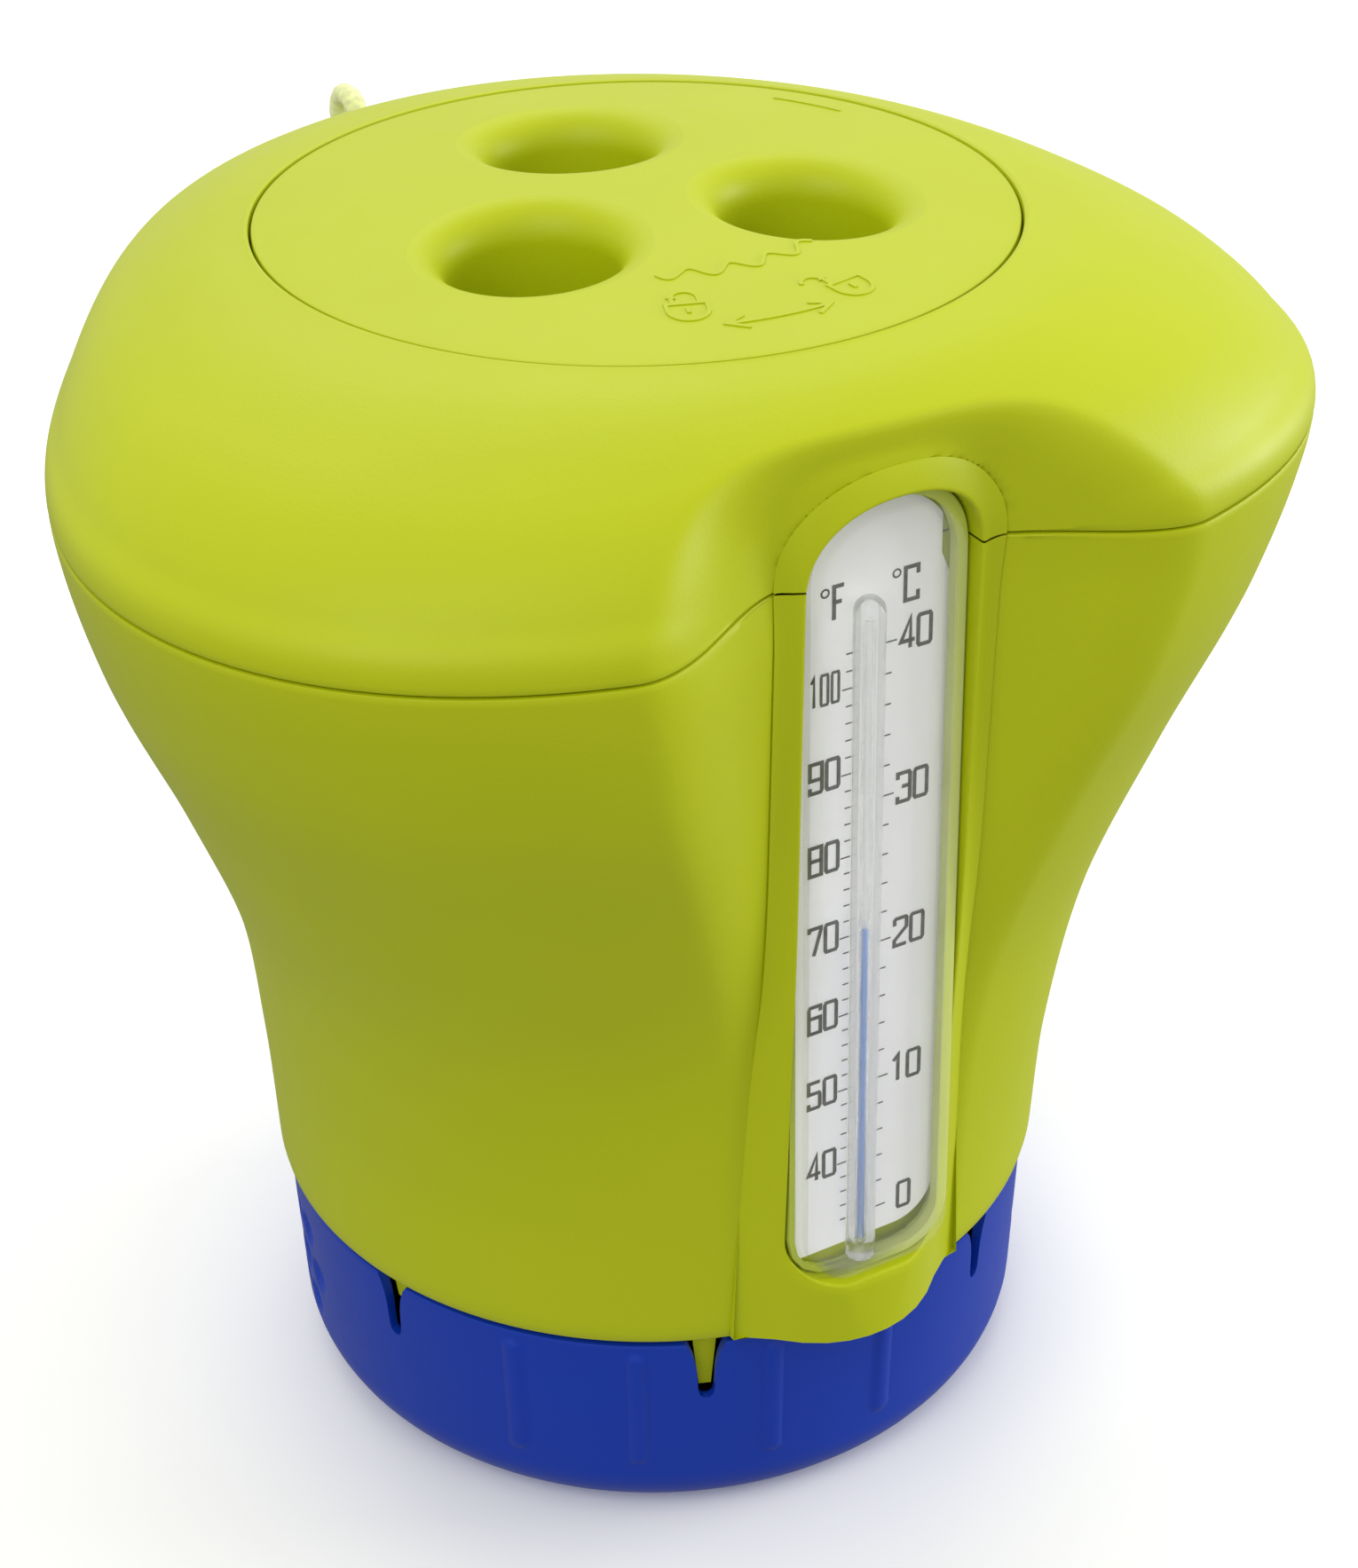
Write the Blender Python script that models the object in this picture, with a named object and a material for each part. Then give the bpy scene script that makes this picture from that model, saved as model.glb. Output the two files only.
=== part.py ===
"""Floating chlorine dispenser: a waisted float of two shells around a tablet chamber,
with a twist cap, a turning base that sets the flow, a thermometer panel and a tether.

Run it with: blender --background --python part.py
Dimensions are in millimetres and become metres when a mesh is made. +Z is up, the
dispenser stands on z = 0, its axis is Z and the thermometer faces -Y. An azimuth is
measured about Z from -Y towards +X, in degrees.
"""

import math

import bmesh
import bpy
from mathutils import Matrix, Vector

MM = 0.001
GAP = 0.3

# Body: (height, mean radius, how far a lobe stands out from that mean)
STATIONS = (
    (36.6, 59.2, 0.0),
    (60.8, 60.5, 0.5),
    (87.6, 64.1, 2.2),
    (113.9, 72.3, 4.0),
    (138.1, 81.0, 5.6),
    (159.5, 85.0, 6.9),
    (167.0, 82.3, 6.0),
    (174.0, 76.2, 4.0),
    (179.0, 68.2, 2.3),
    (182.6, 60.0, 1.0),
    (184.6, 51.6, 0.0),
)
SEAM_STATION = 5
BODY_BOTTOM = STATIONS[0][0]
SEAM = STATIONS[SEAM_STATION][0]
BODY_TOP = STATIONS[-1][0]
MOUTH_R = STATIONS[-1][1]
LOBE_AZIMUTH = 60.0
WALL = 2.4

# Valley scooped out of the body for the thermometer
VALLEY_FLOOR_R = 59.0
VALLEY_FLARE = 0.045
VALLEY_HALF_ANGLE = 12.5
VALLEY_WALL_ANGLE = 12.5
VALLEY_WALL_RISE = 17.7
VALLEY_POWER = 1.6
VALLEY_ROUNDING = 7.0
VALLEY_ARCH = 164.5
VALLEY_ARCH_RATE = 1.1
ARCH_SQUARENESS = 2.5
ARCH_RISE = 0.75
SHOULDER_CENTRE = (40.0, 150.0)

# Housing that stands in the valley and frames the thermometer
HOUSING_HALF = 16.8
HOUSING_TOP = 174.0
HOUSING_FRONT_R = 65.6
HOUSING_FLARE = 0.011
CHIN_TOP = 98.0
CHIN_SPREAD = 2.6
CHIN_SOFTNESS = 0.9
HOUSING_BACK_R = 57.2
HOUSING_BACK_TOP = 176.0

# Thermometer pocket, measured on the panel plane, which leans back a little
LEAN = math.radians(0.7)
LEAN_HEIGHT = 107.0
PANEL_N = 60.0
POCKET_HALF = 12.8
POCKET_BOTTOM = 47.2
POCKET_TOP = 169.8
POCKET_CORNER = 8.0
POCKET_FLOOR = 59.3
CARD_THICK = 0.7
CARD_HALF = 11.4
CARD_BOTTOM = 51.5
CARD_TOP = 167.0
LENS_BACK = 61.0
LENS_FLANGE = 62.6
LENS_FRONT = 65.9
LENS_PLATEAU_INSET = 2.2
LENS_THICK = 1.0
TUBE_R = 2.1
TUBE_BORE_R = 0.8
TUBE_AXIS_X = -1.3
TUBE_AXIS_N = 62.6
TUBE_BOTTOM = 50.6
TUBE_TOP = 153.5
RESERVOIR_R = 1.3
RESERVOIR_TOP = 58.0
SPIRIT_TOP = 107.0

# Tablet chamber
CHAMBER_R = 44.0
CHAMBER_OUTER_R = 46.2
CHAMBER_BOTTOM = 3.5
CHAMBER_TOP = 169.8
CHAMBER_LIP_R = 48.2
CHAMBER_LIP_TOP = 6.0
MOUTH_OUTER_R = 53.9
LEDGE_BOTTOM = 167.2
LEDGE_R = 49.8
COLLAR_BOTTOM = 171.3
COLLAR_OUTER_R = 54.0
WINDOWS = 6
WINDOW_WIDTH = 14.0
WINDOW_BOTTOM = 12.0
WINDOW_TOP = 30.0

# Cap
CAP_R = 51.1
CAP_SKIRT_BOTTOM = 174.0
CAP_SKIRT_INNER_R = 47.2
CAP_CROWN = 3.2
CAP_PLATE = 2.6
SEAL_Z = 179.0
SEAL_R = 50.5
SEAL_MINOR_R = 0.8
WELLS = 3
WELL_CIRCLE_R = 22.7
WELL_AZIMUTH = 54.8
WELL_R = 11.1
WELL_MOUTH_R = 15.6
WELL_MOUTH_DEPTH = 4.6
WELL_WALL = 1.7
WELL_DEPTH = 24.4
BAYONET_INNER_R = 44.4
BAYONET_OUTER_R = 49.2
BAYONET_BOTTOM = 163.4
LUG_R = 51.2
LUG_TOP = 166.6
LUG_ANGLE = 18.0
NOTCH_ANGLE = 23.0

# Base
BASE_AZIMUTH = -22.0
BASE_TOP_Z = 35.2
BASE_TOP_R = 58.1
BASE_LOW_R = 57.2
BASE_FILLET = 9.4
BASE_FLOOR = 3.0
BASE_INNER_R = 56.4
SLOT_ANGLES = (-49.5, 0.0, 49.5, 130.5, 180.0, 229.5)
SLOT_BOTTOM = 24.4
RIB_ANGLES = (-28.3, -10.0, 10.0, 28.3, 151.7, 170.0, 190.0, 208.3)
RIB_HALF = 1.2
RIB_R = 58.25
RIB_BOTTOM = 10.5
RIB_TOP = 33.5
RING_WALL_R = (48.6, 50.4)
RING_WALL_TOP = 11.0
RETAINER = (46.6, 48.3, 6.4, 8.6)

# Flow collar
COLLAR_RING = (47.0, 55.9, 36.9, 39.7)
FINGER_INNER_R = 54.3
LONG_FINGER_BOTTOM = 25.6
SHORT_FINGER_BOTTOM = 30.4
FLOOR_RING = (48.6, 56.6, 40.0, 42.4)

# Tether
CORD_R = 1.8
EYE_Y = 91.4
EYE_Z = 168.3
EYE_HOLE_R = 2.5
EYE_R = 3.9
EYE_THICK = 2.2
LOOP_R = 3.8
KNOT_R = 4.0
KNOT = (99.4, 159.2)
COIL_CENTRE = (35.0, 83.4)
COIL_R = (16.6, 27.4)
COIL_HEIGHT = 10.8
END_KNOT = (35.0, 75.0)
END_KNOT_R = 4.4
CORD_ROUTE = (
    (0.0, 99.4, 154.9),
    (0.0, 99.6, 143.0),
    (-0.4, 101.0, 120.0),
    (-1.1, 104.2, 94.0),
    (-2.0, 107.2, 65.0),
    (-2.8, 108.8, 40.0),
    (-3.0, 109.2, 22.0),
    (-1.0, 109.2, 8.5),
    (5.0, 109.0, 2.6),
    (12.0, 109.0, 1.8),
    (20.5, 109.0, 1.8),
)
CORD_POINTS = 46


def clear_scene():
    for obj in list(bpy.data.objects):
        bpy.data.objects.remove(obj, do_unlink=True)


def plastic(name, colour, roughness, alpha=1.0, transmission=0.0):
    material = bpy.data.materials.new(name)
    material.use_nodes = True
    shader = material.node_tree.nodes["Principled BSDF"]
    shader.inputs["Base Color"].default_value = (*colour, 1.0)
    shader.inputs["Roughness"].default_value = roughness
    shader.inputs["Metallic"].default_value = 0.0
    shader.inputs["Alpha"].default_value = alpha
    shader.inputs["Transmission Weight"].default_value = transmission
    material.diffuse_color = (*colour, 1.0)
    return material


def make_materials():
    return {
        "lime": plastic("lime_plastic", (0.42, 0.56, 0.01), 0.5),
        "lime_inner": plastic("lime_inner_plastic", (0.38, 0.50, 0.02), 0.5),
        "blue": plastic("blue_plastic", (0.01, 0.04, 0.33), 0.42),
        "white": plastic("white_card", (0.88, 0.88, 0.88), 0.45),
        "clear": plastic("clear_lens", (0.95, 0.97, 0.95), 0.06, 0.35, 0.9),
        "glass": plastic("thermometer_glass", (0.92, 0.95, 0.95), 0.04, 0.4, 0.9),
        "spirit": plastic("blue_spirit", (0.25, 0.40, 0.80), 0.2),
        "rubber": plastic("grey_rubber", (0.09, 0.09, 0.09), 0.7),
        "rope": plastic("braided_rope", (0.78, 0.84, 0.38), 0.85),
    }


def place(radius, azimuth, z):
    """The point at this radius and azimuth."""
    angle = math.radians(azimuth)
    return Vector((radius * math.sin(angle), -radius * math.cos(angle), z))


def add_mesh(name, points, faces, material, smooth=True):
    mesh = bpy.data.meshes.new(name)
    mesh.from_pydata([Vector(p) * MM for p in points], [], faces)
    work = bmesh.new()
    work.from_mesh(mesh)
    bmesh.ops.recalc_face_normals(work, faces=work.faces)
    work.to_mesh(mesh)
    work.free()
    if material:
        mesh.materials.append(material)
    if smooth:
        mesh.shade_smooth()
        mesh.set_sharp_from_angle(angle=math.radians(35))
    obj = bpy.data.objects.new(name, mesh)
    bpy.context.scene.collection.objects.link(obj)
    return obj


def ring_solid(name, outline_at, azimuths, material):
    """A closed ring whose section at each azimuth is the closed (radius, z) outline given."""
    outlines = [outline_at(azimuth) for azimuth in azimuths]
    rows = len(outlines[0])
    columns = len(azimuths)
    points = [
        place(radius, azimuth, z)
        for azimuth, outline in zip(azimuths, outlines)
        for radius, z in outline
    ]
    faces = []
    for column in range(columns):
        following = (column + 1) % columns
        for row in range(rows):
            below = (row + 1) % rows
            face = [
                column * rows + row,
                column * rows + below,
                following * rows + below,
                following * rows + row,
            ]
            if 0.0 <= azimuths[column] < 180.0:
                face.append(face.pop(0))
            faces.append(face)
    return add_mesh(name, points, faces, material)


def turned(name, outline, material, steps=48):
    """A ring turned about Z from a closed outline that stays off the axis."""
    return ring_solid(name, lambda azimuth: outline, even_azimuths(steps), material)


def turned_solid(name, outline, material, steps=48):
    """A solid turned about Z from an outline that starts and ends on the axis."""
    middle = outline[1:-1]
    rows = len(middle)
    azimuths = even_azimuths(steps)
    points = [place(radius, azimuth, z) for azimuth in azimuths for radius, z in middle]
    first = len(points)
    points += [Vector((0.0, 0.0, outline[0][1])), Vector((0.0, 0.0, outline[-1][1]))]
    faces = []
    for column in range(steps):
        here = column * rows
        there = (column + 1) % steps * rows
        faces.append((first, here, there))
        faces.append((first + 1, there + rows - 1, here + rows - 1))
        for row in range(rows - 1):
            faces.append((here + row, here + row + 1, there + row + 1, there + row))
    return add_mesh(name, points, faces, material)


def prism(name, outline, start, end, material=None, lean=0.0):
    """An (x, z) outline carried along -Y from start to end, leaned about the panel's middle."""
    count = len(outline)
    points = [Vector((x, -start, z)) for x, z in outline]
    points += [Vector((x, -end, z)) for x, z in outline]
    faces = [tuple(range(count)), tuple(range(2 * count - 1, count - 1, -1))]
    for index in range(count):
        following = (index + 1) % count
        faces.append((index, index + count, following + count, following))
    if lean:
        turn = Matrix.Rotation(-lean, 3, "X")
        middle = Vector((0.0, -PANEL_N, LEAN_HEIGHT))
        points = [turn @ (point - middle) + middle for point in points]
    return add_mesh(name, points, faces, material, smooth=False)


def cut(target, cutter, operation="DIFFERENCE"):
    cutter.hide_render = True
    cutter.display_type = "WIRE"
    modifier = target.modifiers.new(cutter.name, "BOOLEAN")
    modifier.operation = operation
    modifier.object = cutter
    modifier.solver = "EXACT"


def even_azimuths(steps):
    return [360.0 * step / steps for step in range(steps)]


def body_azimuths():
    """Close columns across the thermometer panel, wider ones round the rest."""
    return [2.5 * step for step in range(-12, 13)] + [30.0 + 10.0 * step for step in range(1, 30)]


def smooth_min(first, second, rounding):
    blend = max(rounding - abs(first - second), 0.0) / rounding
    return min(first, second) - blend * blend * rounding / 4


def station_at(position):
    """The (height, mean, lobe) on a smooth curve through STATIONS, one unit per station."""
    last = len(STATIONS) - 1
    index = min(int(position), last - 1)
    step = position - index
    before = STATIONS[max(index - 1, 0)]
    start = STATIONS[index]
    end = STATIONS[index + 1]
    after = STATIONS[min(index + 2, last)]
    values = []
    for a, b, c, d in zip(before, start, end, after):
        curve = (2 * a - 5 * b + 4 * c - d) * step + (3 * b - a - 3 * c + d) * step * step
        values.append(b + 0.5 * step * (c - a + curve))
    return values


def rounded_distance(across, up):
    """How far out a point is, measured so that equal distances make a squarish arch."""
    total = abs(across) ** ARCH_SQUARENESS + up**ARCH_SQUARENESS
    return total ** (1.0 / ARCH_SQUARENESS)


def valley_floor(z):
    return VALLEY_FLOOR_R + VALLEY_FLARE * (z - BODY_BOTTOM)


def valley_radius(azimuth, z):
    """The valley's surface: a flat floor, side walls, and an arch that closes it above."""
    away = rounded_distance(azimuth, VALLEY_ARCH_RATE * max(z - VALLEY_ARCH, 0.0))
    beyond = max(away - VALLEY_HALF_ANGLE, 0.0) / VALLEY_WALL_ANGLE
    return valley_floor(z) + VALLEY_WALL_RISE * beyond**VALLEY_POWER


def with_housing(radius, azimuth, z):
    """The body's radius raised to the housing, whose foot runs out onto the body."""
    low = max((CHIN_TOP - z) / (CHIN_TOP - BODY_BOTTOM), 0.0)
    across = math.radians(azimuth) * valley_floor(z)
    above = max(z - (HOUSING_TOP - ARCH_RISE * HOUSING_HALF), 0.0) / ARCH_RISE
    share = rounded_distance(across, above) / (HOUSING_HALF + CHIN_SPREAD * low)
    if share >= 1.0:
        return radius
    front = HOUSING_FRONT_R + HOUSING_FLARE * (z - BODY_BOTTOM)
    bulge = (1.0 - share ** (3.0 - CHIN_SOFTNESS * low)) ** (0.9 + 0.5 * low)
    return radius + max(front - radius, 0.0) * bulge


def body_point(position, azimuth):
    """The body's outer surface as (radius, z): lobes, then the valley, then the housing."""
    z, mean, lobe = station_at(position)
    radius = mean - lobe * math.cos(math.radians(3.0 * azimuth))
    side = (azimuth + 180.0) % 360.0 - 180.0
    centre_r, centre_z = SHOULDER_CENTRE
    if z > centre_z:
        distance = math.hypot(radius - centre_r, z - centre_z)
        direction = ((radius - centre_r) / distance, (z - centre_z) / distance)
        lean = direction[1] / max(direction[0], 0.05)
        floor_z = centre_z + (valley_floor(z) - centre_r) * lean
        limit = (valley_radius(side, floor_z) - centre_r) / max(direction[0], 0.05)
        distance = smooth_min(distance, limit, VALLEY_ROUNDING)
        radius = centre_r + distance * direction[0]
        z = centre_z + distance * direction[1]
    else:
        radius = smooth_min(radius, valley_radius(side, z), VALLEY_ROUNDING)
    return with_housing(radius, side, z), z


def outer_run(first, last, azimuth, per_station=2):
    steps = (last - first) * per_station
    return [body_point(first + step / per_station, azimuth) for step in range(steps + 1)]


def inner_run(outer, azimuth):
    """The outer run moved in by the wall, and further in behind the thermometer's pocket."""
    side = (azimuth + 180.0) % 360.0 - 180.0
    inner = []
    for index, (radius, z) in enumerate(outer):
        before = outer[max(index - 1, 0)]
        after = outer[min(index + 1, len(outer) - 1)]
        along = Vector((after[0] - before[0], after[1] - before[1])).normalized()
        moved = [radius - WALL * along.y, z + WALL * along.x]
        if abs(side) < 16.0 and z < HOUSING_BACK_TOP:
            moved[0] = min(moved[0], HOUSING_BACK_R)
        inner.append(tuple(moved))
    return inner


def lower_shell_outline(azimuth):
    outer = outer_run(0, SEAM_STATION, azimuth)
    inner = inner_run(outer, azimuth)
    rim = SEAM - GAP / 2
    outer[-1] = (outer[-1][0], rim)
    hole_r, skirt_r, ledge_bottom, ledge_top = FLOOR_RING
    wall = [(inner[-1][0], rim)]
    wall += [point for point in inner[-3:2:-2]]
    floor = [(skirt_r, ledge_top), (hole_r, ledge_top), (hole_r, ledge_bottom)]
    floor += [(skirt_r, ledge_bottom), (skirt_r, BODY_BOTTOM)]
    return outer + wall + floor


def upper_shell_outline(azimuth):
    last = len(STATIONS) - 1
    outer = outer_run(SEAM_STATION, last, azimuth)
    inner = inner_run(outer, azimuth)
    rim = SEAM + GAP / 2
    outer[0] = (outer[0][0], rim)
    collar = [(MOUTH_R, COLLAR_BOTTOM), (COLLAR_OUTER_R, COLLAR_BOTTOM)]
    collar.append((COLLAR_OUTER_R, BODY_TOP - WALL - 0.6))
    wall = [point for point in inner[-3:1:-2]]
    wall.append((inner[0][0], rim))
    return outer + collar + wall


def rounded_outline(half, bottom, top, corner, arc_steps=8):
    """A tall window outline: a squarish arch above, two rounded corners below."""
    points = []
    for step in range(2 * arc_steps + 1):
        angle = math.pi * step / (2 * arc_steps)
        across = math.cos(angle)
        up = abs(math.sin(angle))
        reach = half / rounded_distance(across, up)
        points.append((reach * across, top - ARCH_RISE * (half - reach * up)))
    for centre_x, start in ((-half + corner, math.pi), (half - corner, 1.5 * math.pi)):
        for step in range(arc_steps // 2 + 1):
            angle = start + 0.5 * math.pi * step / (arc_steps // 2)
            x = centre_x + corner * math.cos(angle)
            points.append((x, bottom + corner + corner * math.sin(angle)))
    return points


def inset_window(inset):
    return rounded_outline(
        POCKET_HALF - inset, POCKET_BOTTOM + inset, POCKET_TOP - inset, POCKET_CORNER - inset
    )


def make_shells(materials):
    lower = ring_solid("lower_shell", lower_shell_outline, body_azimuths(), materials["lime"])
    upper = ring_solid("upper_shell", upper_shell_outline, body_azimuths(), materials["lime"])
    pocket = prism("pocket_cutter", inset_window(0.0), POCKET_FLOOR, 80.0, lean=LEAN)
    cut(lower, pocket)
    cut(upper, pocket)
    add_tether_eye(upper)
    return lower, upper


def make_chamber(materials):
    outline = [
        (CHAMBER_R, CHAMBER_BOTTOM),
        (CHAMBER_R, 160.5),
        (MOUTH_R, 163.0),
        (MOUTH_R, LEDGE_BOTTOM),
        (LEDGE_R, LEDGE_BOTTOM),
        (LEDGE_R, CHAMBER_TOP),
        (MOUTH_OUTER_R, CHAMBER_TOP),
        (MOUTH_OUTER_R, 161.0),
        (CHAMBER_OUTER_R, 158.5),
        (CHAMBER_OUTER_R, CHAMBER_LIP_TOP),
        (CHAMBER_LIP_R, CHAMBER_LIP_TOP),
        (CHAMBER_LIP_R, CHAMBER_BOTTOM),
    ]
    chamber = turned("tablet_chamber", outline, materials["lime_inner"])
    notches = []
    for index in range(WELLS):
        azimuth = WELL_AZIMUTH + 120.0 * index
        notches.append(
            wedge(
                f"lug_notch_cutter_{index}",
                LEDGE_R - 1.0,
                MOUTH_R + 0.1,
                azimuth,
                NOTCH_ANGLE,
                LEDGE_BOTTOM - 1.0,
                CHAMBER_TOP + 1.0,
            )
        )
    for index in range(WINDOWS):
        azimuth = BASE_AZIMUTH + 360.0 * index / WINDOWS
        angle = math.degrees(WINDOW_WIDTH / CHAMBER_OUTER_R)
        notches.append(
            wedge(
                f"window_cutter_{index}",
                CHAMBER_R - 2.0,
                CHAMBER_OUTER_R + 2.0,
                azimuth,
                angle,
                WINDOW_BOTTOM,
                WINDOW_TOP,
            )
        )
    for cutter in notches:
        cut(chamber, cutter)
    return chamber


def wedge(name, inner_r, outer_r, azimuth, angle, bottom, top, steps=4):
    """A sector of a ring, for lugs and for the cutters of notches and windows."""
    azimuths = [azimuth + angle * (step / steps - 0.5) for step in range(steps + 1)]
    points = []
    for each in azimuths:
        for radius, z in (
            (inner_r, bottom),
            (outer_r, bottom),
            (outer_r, top),
            (inner_r, top),
        ):
            points.append(place(radius, each, z))
    faces = [(0, 1, 2, 3), tuple(4 * steps + corner for corner in (3, 2, 1, 0))]
    for step in range(steps):
        for corner in range(4):
            following = (corner + 1) % 4
            here = 4 * step
            faces.append(
                (here + corner, here + 4 + corner, here + 4 + following, here + following)
            )
    return add_mesh(name, points, faces, None)


def cap_height(radius):
    """The height of the crowned cap's top at this distance from the axis."""
    return BODY_TOP + CAP_CROWN * (1.0 - (radius / CAP_R) ** 2)


def stand_on_cap(piece, azimuth):
    """Stands a piece made about Z square on the cap's top, at a well's place."""
    slope = math.atan(2.0 * CAP_CROWN * WELL_CIRCLE_R / CAP_R**2)
    outward = place(1.0, azimuth, 0.0)
    axis = Vector((-outward.y, outward.x, 0.0))
    piece.rotation_euler = Matrix.Rotation(slope, 3, axis).to_euler()
    piece.location = place(WELL_CIRCLE_R, azimuth, cap_height(WELL_CIRCLE_R)) * MM


def make_cap(materials):
    groove = SEAL_MINOR_R + GAP
    crown = [(radius, cap_height(radius)) for radius in (0.0, 14.0, 26.0, 37.0, 46.0)]
    underside = [(radius, cap_height(radius) - CAP_PLATE) for radius in (40.0, 26.0, 14.0, 0.0)]
    outline = [
        *crown,
        (CAP_R, BODY_TOP),
        (CAP_R, SEAL_Z + groove),
        (SEAL_R - groove, SEAL_Z + groove),
        (SEAL_R - groove, SEAL_Z - groove),
        (CAP_R, SEAL_Z - groove),
        (CAP_R, CAP_SKIRT_BOTTOM),
        (CAP_SKIRT_INNER_R, CAP_SKIRT_BOTTOM),
        (CAP_SKIRT_INNER_R, BODY_TOP - CAP_PLATE),
        *underside,
    ]
    cap = turned_solid("cap_top", outline, materials["lime"])
    for index in range(WELLS):
        azimuth = WELL_AZIMUTH + 120.0 * index
        outer_r = WELL_R + WELL_WALL
        bottom = -(WELL_DEPTH + WELL_WALL)
        cup = turned_solid(
            f"well_cup_{index}",
            [(0.0, -1.3), (outer_r, -1.3), (outer_r, bottom), (0.0, bottom)],
            None,
            steps=24,
        )
        stand_on_cap(cup, azimuth)
        cut(cap, cup, "UNION")
        bore = turned_solid(
            f"well_bore_{index}",
            [
                (0.0, 1.5),
                (WELL_MOUTH_R + 1.5, 1.5),
                (WELL_MOUTH_R, 0.0),
                (WELL_R + 1.6, -0.9),
                (WELL_R, -WELL_MOUTH_DEPTH),
                (WELL_R, -WELL_DEPTH),
                (0.0, -WELL_DEPTH),
            ],
            None,
            steps=24,
        )
        stand_on_cap(bore, azimuth)
        cut(cap, bore)
    make_bayonet(materials)
    torus("cap_seal", SEAL_R, SEAL_MINOR_R, SEAL_Z, materials["rubber"])


def make_bayonet(materials):
    outline = [
        (BAYONET_INNER_R, CAP_SKIRT_BOTTOM - GAP),
        (BAYONET_OUTER_R, CAP_SKIRT_BOTTOM - GAP),
        (BAYONET_OUTER_R, BAYONET_BOTTOM),
        (BAYONET_INNER_R, BAYONET_BOTTOM),
    ]
    bayonet = turned("cap_bayonet_ring", outline, materials["lime_inner"])
    for index in range(WELLS):
        azimuth = WELL_AZIMUTH + 120.0 * index
        lug = wedge(
            f"bayonet_lug_{index}",
            BAYONET_OUTER_R - 1.5,
            LUG_R,
            azimuth,
            LUG_ANGLE,
            BAYONET_BOTTOM + 0.2,
            LUG_TOP,
        )
        cut(bayonet, lug, "UNION")


def torus(name, major, minor, z, material, steps=48, sides=8):
    outline = []
    for side in range(sides):
        angle = 2 * math.pi * side / sides
        outline.append((major + minor * math.cos(angle), z + minor * math.sin(angle)))
    return turned(name, outline, material, steps)


def make_seals(materials):
    torus("floor_seal", 47.4, 0.85, 41.2, materials["rubber"])
    outline = [(51.9, 170.1), (53.7, 170.1), (53.7, COLLAR_BOTTOM - GAP), (51.9, COLLAR_BOTTOM - GAP)]
    turned("mouth_gasket", outline, materials["rubber"])


def make_base(materials):
    fillet = []
    centre = (BASE_LOW_R - BASE_FILLET, BASE_FILLET)
    for step in range(7):
        angle = math.radians(-90.0 + 15.0 * step)
        fillet.append(
            (centre[0] + BASE_FILLET * math.cos(angle), centre[1] + BASE_FILLET * math.sin(angle))
        )
    inner_wall, outer_wall = RING_WALL_R
    outline = [(0.0, 0.0), *fillet]
    outline += [(BASE_TOP_R, BASE_TOP_Z), (BASE_INNER_R, BASE_TOP_Z), (BASE_INNER_R, 22.0)]
    outline += [(55.0, 19.0), (54.6, 9.0), (51.8, BASE_FLOOR), (outer_wall, BASE_FLOOR)]
    outline += [(outer_wall, RING_WALL_TOP), (inner_wall, RING_WALL_TOP)]
    outline += [(inner_wall, BASE_FLOOR), (0.0, BASE_FLOOR)]
    base = turned_solid("base_cup", outline, materials["blue"], steps=72)
    rib_outline = [(-RIB_HALF, RIB_BOTTOM), (RIB_HALF, RIB_BOTTOM)]
    rib_outline += [(RIB_HALF, RIB_TOP), (-RIB_HALF, RIB_TOP)]
    for index, angle in enumerate(RIB_ANGLES):
        rib = prism(f"rib_{index}", rib_outline, BASE_INNER_R + 0.4, RIB_R)
        rib.rotation_euler.z = math.radians(BASE_AZIMUTH + angle)
        cut(base, rib, "UNION")
    slot = [(-1.2, SLOT_BOTTOM), (1.2, SLOT_BOTTOM), (1.6, SLOT_BOTTOM + 0.8)]
    slot += [(2.3, 33.6), (4.2, 36.0), (-4.2, 36.0), (-2.3, 33.6), (-1.6, SLOT_BOTTOM + 0.8)]
    for index, angle in enumerate(SLOT_ANGLES):
        cutter = prism(f"slot_cutter_{index}", slot, 52.0, 62.0)
        cutter.rotation_euler.z = math.radians(BASE_AZIMUTH + angle)
        cut(base, cutter)
    inner_r, outer_r, bottom, top = RETAINER
    outline = [(inner_r, top), (outer_r, top), (outer_r, bottom), (inner_r, bottom)]
    turned("base_retainer", outline, materials["blue"])


def make_flow_collar(materials):
    inner_r, outer_r, bottom, top = COLLAR_RING
    outline = [(inner_r, top), (outer_r, top), (outer_r, bottom), (inner_r, bottom)]
    collar = turned("flow_collar", outline, materials["lime"], steps=72)
    for index, angle in enumerate(SLOT_ANGLES):
        tip = LONG_FINGER_BOTTOM if angle in (0.0, 180.0) else SHORT_FINGER_BOTTOM
        finger = [(-0.9, tip), (0.9, tip), (1.7, 34.0), (2.6, 38.0), (-2.6, 38.0), (-1.7, 34.0)]
        piece = prism(f"finger_{index}", finger, FINGER_INNER_R, outer_r - 0.1)
        piece.rotation_euler.z = math.radians(BASE_AZIMUTH + angle)
        cut(collar, piece, "UNION")


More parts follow.
